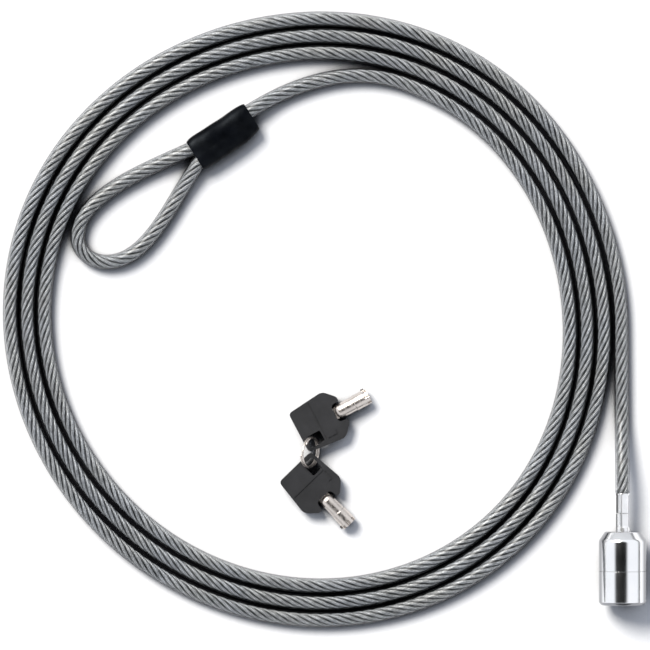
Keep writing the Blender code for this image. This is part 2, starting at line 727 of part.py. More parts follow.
def key(index, place, heading, flip):
    """A key whose slot meets the ring at place, its barrel heading given in degrees."""
    tilt = math.radians(KEY_TILT)
    turn = Matrix.Rotation(math.radians(heading), 4, "Z") @ Matrix.Rotation(tilt, 4, "Y")
    if flip:
        turn = turn @ Matrix.Rotation(math.pi, 4, "X")
    mark = turn @ Vector((SLOT_X0 + SLOT_INSET, SLOT_Y1 - SLOT_INSET, 0))
    height = BARREL_R + KEY_CLEARANCE + math.sin(tilt) * BARREL_TIP
    spot = at_height(place - mark.to_2d(), height) - ring_centre
    frame = empty(f"key_{index}_frame", parent=ring_pivot)
    frame.matrix_local = Matrix.Translation(spot * MM) @ turn
    key_bow(index, frame)
    key_barrel(index, frame)


def key_ring():
    """Split ring, nearly two turns of wire, leaning over the two bows."""
    chord = at_height(RING_CHORD, 0)
    up = at_height(lean_side * math.sin(RING_LEAN), math.cos(RING_LEAN))
    normal = chord.cross(up).normalized()
    points = []
    for i in range(int(RING_TURNS * RING_STEPS) + 1):
        angle = math.tau * i / RING_STEPS + math.radians(RING_START)
        along = RING_WIRE_PITCH * (i / RING_STEPS - RING_TURNS / 2)
        points.append(chord * RING_R * math.cos(angle) + up * RING_R * math.sin(angle) + normal * along)
    wire("key_ring", points, RING_WIRE, "nickel", ring_pivot, resolution=1)


lean_side = Vector((-RING_CHORD.y, RING_CHORD.x))
ring_z = RING_R * math.cos(RING_LEAN) + 0.6
ring_centre = at_height(RING_MID + lean_side * (ring_z - SLOT_Z) * math.tan(RING_LEAN), ring_z)
ring_pivot = empty("key_ring_pivot", ring_centre)
key(1, RING_MID - RING_CHORD * WEB, heading=-46, flip=False)
key(2, RING_MID + RING_CHORD * WEB, heading=28, flip=True)
key_ring()

# ---------------------------------------------------------------- origin under the middle
for obj in parts.objects:
    if obj.parent is None:
        obj.location -= Vector(MIDDLE) * MM
bpy.context.view_layer.update()
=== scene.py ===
"""Looks for a laptop cable lock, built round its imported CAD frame.

The cable's coil lies flat on the floor (z = 0) and is seen from above. The lock head lies along Y
at the end of a lead on the coil's +X side, with its keyway face at the -Y end. The cable's inner
end forms a sleeved eye inside the coil. Two keys lie joined by a ring.
Lengths are millimetres from the coil's centre, unless a name or comment says otherwise.
"""
import json
import math
import random

import bmesh  # noqa: E402
import bpy  # noqa: E402
import numpy as np  # noqa: E402
from mathutils import Matrix, Vector  # noqa: E402

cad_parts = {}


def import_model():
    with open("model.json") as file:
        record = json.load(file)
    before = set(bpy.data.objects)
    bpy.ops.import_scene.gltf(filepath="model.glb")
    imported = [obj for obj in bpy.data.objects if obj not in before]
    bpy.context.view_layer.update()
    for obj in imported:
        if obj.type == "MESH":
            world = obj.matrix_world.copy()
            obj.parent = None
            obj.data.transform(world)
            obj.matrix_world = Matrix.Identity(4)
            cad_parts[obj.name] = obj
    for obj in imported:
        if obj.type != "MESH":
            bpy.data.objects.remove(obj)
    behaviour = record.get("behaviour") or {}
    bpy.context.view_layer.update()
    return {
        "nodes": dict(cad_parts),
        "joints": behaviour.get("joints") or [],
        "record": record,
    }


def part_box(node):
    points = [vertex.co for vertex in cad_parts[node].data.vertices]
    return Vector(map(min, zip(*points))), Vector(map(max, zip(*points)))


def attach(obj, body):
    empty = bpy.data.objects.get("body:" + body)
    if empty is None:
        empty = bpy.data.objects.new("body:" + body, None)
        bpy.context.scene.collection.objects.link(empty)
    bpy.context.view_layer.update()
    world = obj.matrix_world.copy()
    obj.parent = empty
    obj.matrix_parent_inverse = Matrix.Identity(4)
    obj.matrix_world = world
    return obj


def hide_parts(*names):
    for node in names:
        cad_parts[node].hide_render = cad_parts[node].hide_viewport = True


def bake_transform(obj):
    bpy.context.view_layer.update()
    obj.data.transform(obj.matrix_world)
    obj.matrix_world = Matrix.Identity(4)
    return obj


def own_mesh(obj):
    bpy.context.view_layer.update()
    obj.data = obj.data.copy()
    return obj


MM = 0.001
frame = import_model()
scene = bpy.context.scene

# ------------------------------------------------------------------ cable dimensions
COIL_R0 = 97.57                 # coil radius at its outer end
COIL_PITCH = 5.355              # radius lost per turn
COIL_END = 1148.0               # degrees the coil winds through
# cosine and sine parts of the coil's unevenness, for one, two, three and four waves a turn
COIL_WOBBLE = ((0.72, 0.30), (0.10, -0.79), (-0.74, 0.14), (-0.18, -0.21))
LEAD_SLOPE = 0.0087             # sideways drift of the lead where it leaves the coil
LEAD_LENGTH = 53.1              # nominal, used to place the frame
LOCK_BEND_BACK = 24.0           # distance of the lead's bend from the coil's outer end
LEAD_SPLIT_Y = -16.0            # where the lead's rope and jacket hand over to the coil's

ROPE_R = 1.90
ROPE_LAY = 20.3                 # rope length in which the strands twist once round
ROPE_STEP = 0.62
STRAND_FACETS = 12              # faces across one strand's exposed side
JACKET_STEP, JACKET_SIDES, JACKET_WALL = 1.2, 28, 0.33

# The eye: the cable runs through the sleeve from EYE_A to EYE_B, loops round, and comes back beside
EYE_A, EYE_B = Vector((-19.7, 66.8)), Vector((-38.0, 55.0))
EYE_Z = 3.35                    # height of the cables in the sleeve
EYE_GAP = 4.72                  # between the two cables in the sleeve
STUB = 15.5                     # returned cable inside the sleeve
LOOP_LEFT, LOOP_LOW = Vector((-73.7, 27.5)), Vector((-64.6, 19.5))
RETURN_DEG = 55.6               # heading of the loop as it comes back to the sleeve

# How far each of the seven lock pins is pushed by the key, and each of the key's notches beyond 0.5
PIN_TRAVEL = (0.5, 1.1, 0.8, 0.5, 0.8, 1.1, 0.5)


# ------------------------------------------------------------------ places from the CAD frame
def lead_x(back, length):
    """X of the lead at a distance back (-Y) from the coil's outer end."""
    return COIL_R0 + LEAD_SLOPE * back - LEAD_SLOPE * back * back / (2 * length)


joints = {j["name"]: j for j in frame["joints"]}


def joint_place(name):
    """A joint's place in millimetres from the frame's origin."""
    return Vector(joints[name]["pos_m"]) / MM


lock_bend_in_frame = joint_place("lock_lead_swing")
# from the frame's origin to the coil's centre
SHIFT = (Vector((lead_x(LOCK_BEND_BACK, LEAD_LENGTH), -LOCK_BEND_BACK, 0))
         - Vector((lock_bend_in_frame.x, lock_bend_in_frame.y, 0)))


def span(node):
    """Lowest and highest corners of a CAD node."""
    lo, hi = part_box(node)
    return lo / MM + SHIFT, hi / MM + SHIFT


def world(place):
    """A place in the frame's own metres."""
    return (Vector(place) - SHIFT) * MM


lo, hi = span("lock_body")
HEAD_X, HEAD_R = (lo.x + hi.x) / 2, (hi.x - lo.x) / 2
HEAD_Z = (lo.z + hi.z) / 2
HEAD_TOP, SEAM_Y = hi.y, lo.y
HEAD_Y0 = span("lock_collar")[0].y
lo, hi = span("clear_jacket_coil")
CABLE_R = (hi.z - lo.z) / 2
LEAD_Y = span("clear_jacket_lock_lead")[0].y
EYE_BEND = joint_place("eye_lead_swing") + SHIFT
RING_CENTRE = joint_place("key_2_swing") + SHIFT


# ------------------------------------------------------------------ the cable's centreline
def ease(t):
    t = max(0.0, min(1.0, t))
    return t * t * (3 - 2 * t)


def lead_point(y):
    """The lead drops from the head's height to lie on the floor before the coil."""
    z = CABLE_R + (HEAD_Z - CABLE_R) * ease((-y - 27.0) / 23.0)
    return Vector((lead_x(-y, -LEAD_Y) if y > LEAD_Y else HEAD_X, y, z))


def coil_point(deg):
    a = math.radians(deg)
    wobble = sum(c * math.cos(k * a) + s * math.sin(k * a)
                 for k, (c, s) in enumerate(COIL_WOBBLE, 1))
    r = COIL_R0 - COIL_PITCH * deg / 360.0 + wobble * ease(deg / 30.0)
    return Vector((r * math.cos(a), r * math.sin(a), CABLE_R))


def bezier(p0, p1, p2, p3, count):
    """Points on a cubic curve, without its first."""
    out = []
    for i in range(1, count + 1):
        t = i / count
        u = 1 - t
        out.append(p0 * u**3 + p1 * (3 * u * u * t) + p2 * (3 * u * t * t) + p3 * t**3)
    return out


EYE_DIR = (EYE_B - EYE_A).normalized()
EYE_SIDE = Vector((EYE_DIR.y, -EYE_DIR.x))                   # across the sleeve, towards +Y
COVER_L = (EYE_B - EYE_A).length
EYE_END = EYE_B - EYE_SIDE * EYE_GAP


def run_to_eye():
    """From the coil's inner end to the sleeve."""
    start = coil_point(COIL_END).to_2d()
    heading = math.radians(COIL_END)
    along_coil = Vector((-math.sin(heading), math.cos(heading)))
    return bezier(start, start + along_coil * 17.3, EYE_A - EYE_DIR * 18.9, EYE_A, 112)


def eye_loop():
    """Out of the sleeve, round the open loop and back."""
    heading = math.radians(RETURN_DEG)
    back = Vector((math.cos(heading), math.sin(heading)))
    return (
        bezier(EYE_B, EYE_B + Vector((-12.8, -5.7)), LOOP_LEFT + Vector((0, 13)), LOOP_LEFT, 60)
        + bezier(LOOP_LEFT, LOOP_LEFT + Vector((0, -4.6)), LOOP_LOW + Vector((-5.2, 0)),
                 LOOP_LOW, 24)
        + bezier(LOOP_LOW, LOOP_LOW + Vector((13, 0)), EYE_END - back * 16, EYE_END, 60)
    )


def lift(p):
    """Raises a flat point to the sleeve's height as it nears the sleeve."""
    near = min((p - EYE_A).length, (p - EYE_B).length, (p - EYE_END).length)
    return Vector((p.x, p.y, CABLE_R + (EYE_Z - CABLE_R) * ease(1 - near / 13.0)))


def centreline():
    pts = [Vector((HEAD_X, LEAD_Y - back, HEAD_Z)) for back in (3.3, 1.6)]
    y = LEAD_Y
    while y < -0.4:
        pts.append(lead_point(y))
        y += 0.5
    pts += [coil_point(d) for d in np.arange(0, COIL_END + 0.01, 0.5)]
    pts += [lift(p) for p in run_to_eye()]
    pts += [Vector((*(EYE_A + EYE_DIR * COVER_L * k / 12), EYE_Z)) for k in range(1, 13)]
    pts += [lift(p) for p in eye_loop()]
    pts += [Vector((*(EYE_END - EYE_DIR * STUB * k / 10), EYE_Z)) for k in range(1, 11)]
    p = np.array([tuple(v) for v in pts])
    keep = np.r_[True, np.linalg.norm(np.diff(p, axis=0), axis=1) > 1e-4]
    return p[keep]


PATH = centreline()
ARC = np.r_[0, np.cumsum(np.linalg.norm(np.diff(PATH, axis=0), axis=1))]
TOTAL = ARC[-1]


def along(s):
    """Points of the centreline at arc lengths s."""
    return np.stack([np.interp(s, ARC, PATH[:, k]) for k in range(3)], axis=1)


def path_frames(s):
    """Points, and sideways, upward and forward unit vectors, at arc lengths s."""
    reach = 0.6
    points = along(s)
    forward = along(np.minimum(s + reach, TOTAL)) - along(np.maximum(s - reach, 0))
    forward /= np.linalg.norm(forward, axis=1)[:, None]
    side = np.cross(forward, (0, 0, 1.0))
    side /= np.linalg.norm(side, axis=1)[:, None]
    return points, side, np.cross(side, forward), forward


# arc lengths at which the cable's stretches meet
S_LEAD = float(ARC[np.argmax(PATH[:, 1] > LEAD_SPLIT_Y)])
S_JACKET = float(ARC[np.argmax(PATH[:, 1] >= LEAD_Y - 1e-3)])
S_BEND = float(ARC[np.argmin(np.linalg.norm(PATH - np.array(EYE_BEND), axis=1))])
S_EYE = S_BEND - 6.0


# ------------------------------------------------------------------ shader graph helper
NOISE_SPAN = (0.3, 0.7)         # the part of a noise's range that carries its contrast


def rgba(colour):
    return colour if isinstance(colour, bpy.types.NodeSocket) else (*colour, 1)


def grey(value):
    return (value,) * 3


class Graph:
    """The node tree of a material or world. math_inputs: sockets set on each math node."""

    def __init__(self, owner, output, math_inputs=3):
        self.owner, self.math_inputs = owner, math_inputs
        owner.use_nodes = True
        self.tree = owner.node_tree
        self.tree.nodes.clear()
        self.output = self.node(output)

    def node(self, kind, inputs=None, **props):
        """Inputs are values or sockets, by the input's name or index."""
        node = self.tree.nodes.new(kind)
        for name, value in props.items():
            setattr(node, name, value)
        for name, value in (inputs or {}).items():
            if isinstance(value, bpy.types.NodeSocket):
                self.tree.links.new(value, node.inputs[name])
            else:
                node.inputs[name].default_value = value
        return node

    def math(self, operation, *values, clamp=False):
        filled = (*values, 0.0, 0.0)[:self.math_inputs]
        return self.node("ShaderNodeMath", dict(enumerate(filled)),
                         operation=operation, use_clamp=clamp).outputs[0]

    def coords(self, which="Object"):
        return self.node("ShaderNodeTexCoord").outputs[which]

    def stretched(self, *scale):
        return self.node("ShaderNodeMapping",
                         {"Vector": self.coords(), "Scale": scale}).outputs[0]

    def separate(self, vector):
        return self.node("ShaderNodeSeparateXYZ", {0: vector}).outputs

    def noise(self, scale, detail=3, rough=0.5, vector=None):
        vector = self.coords() if vector is None else vector
        return self.node("ShaderNodeTexNoise", {"Scale": scale, "Detail": detail,
                                                "Roughness": rough, "Vector": vector}).outputs[0]

    def facing(self):
        return self.node("ShaderNodeLayerWeight", {"Blend": 0.5}).outputs["Facing"]

    def ramp(self, value, *stops):
        """Each stop: position, colour."""
        node = self.node("ShaderNodeValToRGB", {0: value})
        elements = node.color_ramp.elements
        elements[0].position, elements[0].color = stops[0][0], rgba(stops[0][1])
        elements[1].position, elements[1].color = stops[-1][0], rgba(stops[-1][1])
        for position, colour in stops[1:-1]:
            elements.new(position).color = rgba(colour)
        return node.outputs[0]

    def tone(self, noise, dark, light):
        """A colour that follows a noise."""
        return self.ramp(noise, (NOISE_SPAN[0], dark), (NOISE_SPAN[1], light))

    def remap(self, value, span=NOISE_SPAN, to=(0.0, 1.0), **props):
        return self.node("ShaderNodeMapRange", {
            "Value": value, "From Min": span[0], "From Max": span[1],
            "To Min": to[0], "To Max": to[1]}, **props).outputs[0]

    def mix(self, factor, a, b, **props):
        return self.node("ShaderNodeMix", data_type="RGBA",
                         inputs={0: factor, 6: rgba(a), 7: rgba(b)}, **props).outputs[2]

    def mix_shader(self, factor, a, b):
        return self.node("ShaderNodeMixShader", {0: factor, 1: a, 2: b}).outputs[0]

    def bump(self, height, strength, distance, **inputs):
        return self.node("ShaderNodeBump", {"Strength": strength, "Distance": distance,
                                            "Height": height, **inputs}).outputs[0]

    def finish(self, shader):
        self.tree.links.new(shader, self.output.inputs[0])
        return self.owner

    def surface(self, **inputs):
        """Ends the graph in a principled surface; underscores in names stand for spaces."""
        inputs = {name.replace("_", " "): value for name, value in inputs.items()}
        return self.finish(self.node("ShaderNodeBsdfPrincipled", inputs).outputs[0])


def material_graph(name):
    return Graph(bpy.data.materials.new(name), "ShaderNodeOutputMaterial")


# ------------------------------------------------------------------ materials
KEY_AT = (-0.46, 0.56, 0.76)    # place of the key light, metres; it aims at the origin


def metal(name, *, colour, rough, streak, wear, bump):
    """A metal with fine directional marks, cloudy tone and a little wear."""
    g = material_graph(name)
    marks = g.noise(scale=900.0, detail=4, rough=0.6, vector=g.stretched(*streak))
    cloud = g.noise(scale=120.0)
    toned = g.node("ShaderNodeHueSaturation", {
        "Color": rgba(colour), "Value": g.remap(cloud, to=(1 - wear, 1 + wear))})
    uneven = g.remap(marks, to=(-0.35 * rough, 0.35 * rough))
    return g.surface(Base_Color=toned.outputs[0], Metallic=1.0,
                     Roughness=g.math("ADD", uneven, rough, clamp=True),
                     Normal=g.bump(marks, strength=bump, distance=0.00002))


def swaged_material(name, shade_bands):
    """Steel pressed in a die: a satin grain along local Z, and darker bands of painted shade and
    reflection at fixed angles round it, streaked by the grain.
    Each band: degrees from the top towards +X, half width in degrees, tone."""
    g = material_graph(name)
    marks = g.noise(scale=900.0, detail=4, rough=0.6, vector=g.stretched(1, 1, 0.2))
    tone = g.tone(g.noise(scale=260.0), dark=(0.84, 0.845, 0.85), light=(0.95, 0.95, 0.955))
    x, y, _z = g.separate(g.coords())
    across = g.node("ShaderNodeCombineXYZ", {0: x, 1: y}).outputs[0]
    unit = g.node("ShaderNodeVectorMath", {0: across}, operation="NORMALIZE").outputs[0]
    for centre, half, dark in shade_bands:
        a = math.radians(-90 + centre)
        dot = g.node("ShaderNodeVectorMath", {0: unit, 1: (math.cos(a), math.sin(a), 0.0)},
                     operation="DOT_PRODUCT").outputs["Value"]
        edge = (math.cos(math.radians(half + 5)), math.cos(math.radians(half - 4)))
        # painted shade and reflection: the band darkens the steel on a fixed side, whatever the
        # light
        band = g.math("MULTIPLY", g.remap(dot, span=edge), g.remap(marks, to=(0.75, 1.0)))
        tone = g.mix(band, tone, (dark, dark * 1.02, dark * 1.03))
    return g.surface(Base_Color=tone, Metallic=1.0, Roughness=g.remap(marks, to=(0.22, 0.38)),
                     Normal=g.bump(marks, strength=0.14, distance=0.00002))


def rope_material():
    """Twisted galvanised wires: light steel, with painted shade in the grooves between strands and
    towards the edges of each wire.
    U counts strands round the rope; V is millimetres along it."""
    g = material_graph("rope_steel")
    strands, v, _w = g.separate(g.node("ShaderNodeUVMap", uv_map="UVMap").outputs[0])
    # three wires show on each strand, and run round it
    wires = g.math("FRACT", g.math("ADD", g.math("MULTIPLY", strands, 3.0),
                                   g.math("MULTIPLY", v, 0.30)))
    centred = g.math("SUBTRACT", g.math("MULTIPLY", wires, 2.0), 1.0)
    lobe = g.math("SUBTRACT", 1.0, g.math("MULTIPLY", centred, centred))
    lobe = g.math("POWER", g.math("MAXIMUM", lobe, 0.001), 0.6)
    # grooves lie at both edges of a strand
    across = g.math("FRACT", strands)
    edge = g.math("ABSOLUTE", g.math("SUBTRACT", g.math("MULTIPLY", across, 2.0), 1.0))
    groove_depth_and_shade = g.math("POWER", g.remap(edge, span=(0.46, 0.90)), 1.15)
    # the gaps between strands open and close a little along the rope
    gap = g.noise(scale=170.0, rough=0.6)
    groove_depth_and_shade = g.math("MULTIPLY", groove_depth_and_shade, g.remap(gap, span=(0.38, 0.58), to=(0.72, 1.0)))
    grime = g.noise(scale=420.0, detail=4, rough=0.6)
    fleck = g.noise(scale=2100.0, detail=2, rough=0.6)
    patch = g.noise(scale=60.0, detail=2)
    tone = g.ramp(grime, (0.25, (0.40, 0.415, 0.42)), (0.5, (0.70, 0.72, 0.725)),
                  (0.75, (0.96, 0.975, 0.98)))
    warm = g.mix(g.remap(patch, span=(0.35, 0.65)), (0.95, 0.97, 1.0), (1.0, 0.99, 0.955))
    steel = g.mix(1.0, tone, warm, blend_type="MULTIPLY")
    # painted shade: each wire darkens towards its edges, where it dips beside the next
    wire_unshaded_share = g.math("MULTIPLY", lobe, g.remap(fleck, span=(0.38, 0.60), to=(0.56, 1.0)))
    wire_tone_with_shade = g.mix(wire_unshaded_share, (0.065, 0.068, 0.07), steel)
    # painted shade: the grooves between strands are coloured near black
    colour = g.mix(groove_depth_and_shade, wire_tone_with_shade, (0.016, 0.018, 0.018))
    height = g.math("SUBTRACT", lobe, g.math("MULTIPLY", groove_depth_and_shade, 1.2))
    return g.surface(Base_Color=colour, Metallic=0.25, Roughness=g.remap(grime, to=(0.28, 0.45)),
                     Normal=g.bump(height, strength=0.8, distance=0.00014))


def jacket_material():
    """Clear soft plastic: a broad sheen towards the sides, and painted shade: its see-through
    colour darkens towards the sides, so that the rim along the wall and the slits between turns
    look dark.
    """
    g = material_graph("clear_pvc")
    ripple = g.noise(scale=420.0, detail=2)
    cloud = g.noise(scale=70.0, detail=2)
    normal = g.bump(ripple, strength=0.20, distance=0.00008)
    facing = g.facing()
    # painted shade: the plastic lets less light through towards its sides, a dark rim in place of
    # refraction and of the shade between turns
    tint = g.ramp(facing, (0.0, grey(0.985)), (0.34, (0.97, 0.975, 0.975)),
                  (0.50, (0.80, 0.81, 0.82)), (0.72, (0.58, 0.585, 0.60)),
                  (1.0, (0.42, 0.42, 0.44)))
    sheen = g.ramp(facing, (0.0, grey(0.03)), (0.15, grey(0.04)), (0.36, grey(0.06)),
                   (0.50, grey(0.10)), (0.70, grey(0.17)), (1.0, grey(0.24)))
    clear = g.node("ShaderNodeBsdfTransparent", {"Color": tint}).outputs[0]
    gloss = g.node("ShaderNodeBsdfGlossy", {
        "Roughness": g.remap(cloud, to=(0.24, 0.40)), "Normal": normal}).outputs[0]
    amount = g.math("MULTIPLY", sheen, g.remap(cloud, to=(0.8, 1.25)), clamp=True)
    seen = g.mix_shader(amount, clear, gloss)
    # the jacket dims shadow and diffuse rays, so that the slits between turns go dark
    rays = g.node("ShaderNodeLightPath").outputs
    dim = g.node("ShaderNodeBsdfTransparent", {"Color": (0.60, 0.60, 0.61, 1)}).outputs[0]
    lighting = g.math("MAXIMUM", rays["Is Shadow Ray"], rays["Is Diffuse Ray"])
    return g.finish(g.mix_shader(lighting, seen, dim))


def sleeve_material():
    """Black shrunk sleeve, softly uneven, with a patchy cool sheen."""
    g = material_graph("black_sleeve")
    soft = g.noise(scale=230.0, rough=0.55)
    fine = g.noise(scale=2600.0, detail=2)
    sheen = g.noise(scale=95.0, detail=2)
    dents = g.bump(soft, strength=0.45, distance=0.0005)
    return g.surface(
        Base_Color=g.tone(soft, dark=(0.0010, 0.0012, 0.0017), light=(0.0030, 0.0036, 0.0052)),
        Roughness=g.remap(soft, to=(0.38, 0.50)),
        Specular_IOR_Level=g.remap(sheen, span=(0.40, 0.62), to=(0.025, 0.13)),
        Specular_Tint=(0.80, 0.90, 1.0, 1.0),
        Normal=g.bump(fine, strength=0.12, distance=0.00005, Normal=dents))


def bow_material():
    """Black plastic with a moulded grain."""
    g = material_graph("black_plastic")
    grain = g.noise(scale=3200.0, rough=0.6)
    cells = g.node("ShaderNodeTexVoronoi", {"Scale": 2600.0, "Vector": g.coords()})
    cloud = g.noise(scale=180.0)
    height = g.math("ADD", g.math("MULTIPLY", cells.outputs["Distance"], 0.7),
                    g.math("MULTIPLY", grain, 0.5))
    return g.surface(
        Base_Color=g.tone(cloud, dark=(0.017, 0.017, 0.018), light=(0.027, 0.027, 0.029)),
        Roughness=g.remap(grain, to=(0.32, 0.46)),
        Normal=g.bump(height, strength=0.28, distance=0.00006))


def chrome_material():
    """Polish for the lock head, whose skins have local Z along its axis."""
    g = material_graph("chrome")
    lines = g.noise(scale=700.0, vector=g.stretched(0.15, 0.15, 5.0))
    haze = g.noise(scale=90.0)
    tone = g.tone(haze, dark=(0.86, 0.87, 0.885), light=(0.93, 0.935, 0.945))
    # painted reflection: the chrome darkens towards its outline, in place of the shaded floor that
    # its sides would mirror
    tone = g.mix(g.remap(g.facing(), span=(0.40, 0.57)), tone, (0.31, 0.315, 0.33))
    # painted reflection: the bevel round the key end is darkened, in place of the dark part of the
    # room that it would mirror
    normal = g.node("ShaderNodeNewGeometry").outputs["Normal"]
    local = g.node("ShaderNodeVectorTransform", {0: normal}, vector_type="NORMAL",
                   convert_from="WORLD", convert_to="OBJECT").outputs[0]
    towards_key = g.math("MULTIPLY", g.separate(local)[2], -1.0)
    bevel = g.ramp(towards_key, (0.20, grey(0)), (0.50, grey(1)), (0.80, grey(1)),
                   (0.93, grey(0)))
    tone = g.mix(bevel, tone, (0.27, 0.275, 0.29))
    return g.surface(Base_Color=tone, Metallic=1.0, Roughness=g.remap(haze, to=(0.14, 0.19)),
                     Normal=g.bump(lines, strength=0.08, distance=0.00002))


def floor_material():
    """White paper, with painted shadow: ambient-occlusion nodes darken it on the far side of things
    from the key light and in the narrow slits between turns.
    """
    g = material_graph("paper")
    tone = g.tone(g.noise(scale=900.0), dark=(0.925, 0.925, 0.93), light=(0.955, 0.955, 0.96))
    # painted shadow: occlusion seen towards the key light darkens the paper on the far side of
    # things
    lean = g.node("ShaderNodeCombineXYZ", dict(zip("XYZ", Vector(KEY_AT).normalized())))
    shade = g.node("ShaderNodeAmbientOcclusion",
                   {"Distance": 0.008, "Normal": lean.outputs[0]}, samples=12)
    away = g.ramp(shade.outputs["AO"], (0.34, grey(0.10)), (0.43, grey(0.46)),
                  (0.50, grey(0.68)), (0.60, grey(0.86)), (0.90, grey(1.0)))
    slit_shade = g.node("ShaderNodeAmbientOcclusion", {"Distance": 0.009}, samples=12)
    unshaded_share = g.math("MULTIPLY", away, g.remap(slit_shade.outputs["AO"], span=(0.25, 0.46)))
    # painted shadow colour: near black where the paper is most closed in
    colour = g.mix(unshaded_share, (0.006, 0.006, 0.008), tone)
    return g.surface(Base_Color=colour, Roughness=0.9, Specular_IOR_Level=0.05)


EVEN, TURNED = (1, 1, 1), (0.3, 4, 0.3)                      # stretches of a metal's marks
MAT = {
    "rope_steel": rope_material(),
    "clear_pvc": jacket_material(),
    "chrome": chrome_material(),
    # painted shade and reflection: the crimp sleeve and the stud each carry darker bands on their
    # -X side
    "swaged_steel": swaged_material("swaged_steel", ((-76, 29, 0.12), (-28, 6, 0.60))),
    "stud_steel": swaged_material("stud_steel", ((-82, 24, 0.20), (-17, 10, 0.46))),
    "aluminium": metal("aluminium", colour=(0.70, 0.70, 0.71), rough=0.36, streak=EVEN,
                       wear=0.15, bump=0.3),
    "black_sleeve": sleeve_material(),
    "brass": metal("brass", colour=(0.78, 0.60, 0.30), rough=0.26, streak=TURNED,
                   wear=0.14, bump=0.2),
    "spring_steel": metal("spring_steel", colour=(0.58, 0.58, 0.60), rough=0.24, streak=EVEN,
                          wear=0.12, bump=0.15),
    "hardened_steel": metal("hardened_steel", colour=(0.46, 0.46, 0.48), rough=0.22,
                            streak=TURNED, wear=0.14, bump=0.2),
    "black_plastic": bow_material(),
    "nickel": metal("nickel", colour=(0.64, 0.59, 0.55), rough=0.31, streak=EVEN,
                    wear=0.16, bump=0.30),
}

# every CAD node first takes its slot's finish; finer pieces stand in for some of them below
slots = {s["node"]: s["material_slot"] for s in frame["record"]["subparts"]}
for name, node_object in frame["nodes"].items():
    node_object.data.materials.clear()
    node_object.data.materials.append(MAT[slots[name]])


# ------------------------------------------------------------------ mesh helpers
def add_object(name, mesh, material=None, matrix=None):
    obj = bpy.data.objects.new(name, mesh)
    scene.collection.objects.link(obj)
    if material is not None:
        mesh.materials.append(material)
    if matrix is not None:
        obj.matrix_world = matrix
        bpy.context.view_layer.update()
    return obj


def from_bmesh(name, bm, material=None, matrix=None):
    mesh = bpy.data.meshes.new(name)
    bm.to_mesh(mesh)
    bm.free()
    return add_object(name, mesh, material, matrix)


def smooth_by_angle(mesh):
    mesh.shade_smooth()
    mesh.set_sharp_from_angle(angle=math.radians(35))


def grid_mesh(name, points, material, uv=None):
    """A tube. points: rings x around x 3. uv: rings x (around + 1) x 2."""
    rings, around, _ = points.shape
    flat = points.reshape(-1, 3)
    verts = ((flat - np.array(SHIFT)) * MM).astype(np.float32)
    ring = np.arange(rings - 1)[:, None]
    col = np.arange(around)[None, :]
    row, after = ring * around, (col + 1) % around
    quads = np.stack([row + col, row + after, row + around + after, row + around + col],
                     axis=-1).reshape(-1, 4)
    q = (flat - flat.mean(axis=0))[quads]
    normals = np.cross(q[:, 1], q[:, 2]) + np.cross(q[:, 2], q[:, 3])
    outward = np.einsum("ij,ij->i", q[:, 0], normals).sum() > 0
    if not outward:
        quads = quads[:, ::-1]
    mesh = bpy.data.meshes.new(name)
    mesh.vertices.add(len(verts))
    mesh.vertices.foreach_set("co", verts.ravel())
    mesh.loops.add(quads.size)
    mesh.loops.foreach_set("vertex_index", quads.astype(np.int32).ravel())
    mesh.polygons.add(len(quads))
    mesh.polygons.foreach_set("loop_start", np.arange(0, quads.size, 4, dtype=np.int32))
    mesh.polygons.foreach_set("use_smooth", np.full(len(quads), True))
    mesh.update(calc_edges=True)
    if uv is not None:
        layer = mesh.uv_layers.new(name="UVMap")
        corner = np.stack([uv[ring, col], uv[ring, col + 1],
                           uv[ring + 1, col + 1], uv[ring + 1, col]], axis=2)
        if not outward:
            corner = corner[:, :, ::-1]
        layer.data.foreach_set("uv", corner.astype(np.float32).ravel())
    return add_object(name, mesh, material)


def turned(name, profile, material, matrix, sides, offset=None):
    """A (radius, height) profile spun about local Z; points with radius 0 close it.
    offset gives a change of radius for an angle and height."""
    bm = bmesh.new()
    rings = []
    for r, z in profile:
        if r < 1e-6:
            rings.append([bm.verts.new((0, 0, z * MM))])
            continue
        ring = []
        for k in range(sides):
            a = math.tau * k / sides
            rr = r + (offset(a, z) if offset else 0.0)
            ring.append(bm.verts.new((rr * math.cos(a) * MM, rr * math.sin(a) * MM, z * MM)))
        rings.append(ring)
    for a, b in zip(rings, rings[1:]):
        for k in range(sides):
            after = (k + 1) % sides
            if len(a) == 1:
                bm.faces.new((a[0], b[after], b[k]))
            elif len(b) == 1:
                bm.faces.new((a[k], a[after], b[0]))
            else:
                bm.faces.new((a[k], a[after], b[after], b[k]))
    bmesh.ops.recalc_face_normals(bm, faces=bm.faces)
    obj = from_bmesh(name, bm, material, matrix)
    smooth_by_angle(obj.data)
    return obj


def corner_curve(p, before, after, r, count):
    """Points that round the corner p, from r before it to r after it."""
    q0, q1 = p + (before - p).normalized() * r, p + (after - p).normalized() * r
    out = []
    for k in range(count + 1):
        t = k / count
        out.append(tuple(q0 * (1 - t) ** 2 + p * 2 * t * (1 - t) + q1 * t * t))
    return out


def rounded_profile(points, radii, count):
    """Rounds the corners of an open profile."""
    out = [points[0]]
    for i in range(1, len(points) - 1):
        p, before, after = Vector(points[i]), Vector(points[i - 1]), Vector(points[i + 1])
        r = min(radii[i], (before - p).length * 0.48, (after - p).length * 0.48)
        if r <= 1e-4:
            # the frame's sizes left no room to round this corner
            out.append(points[i])
        else:
            out += corner_curve(p, before, after, r, count)
    out.append(points[-1])
    return out


def rounded_loop(points, radii):
    """Rounds the corners of a closed outline."""
    corners = [Vector(p) for p in points]
    out = []
    for i, (p, r) in enumerate(zip(corners, radii)):
        out += corner_curve(p, corners[i - 1], corners[(i + 1) % len(corners)], r, 6)
    return out


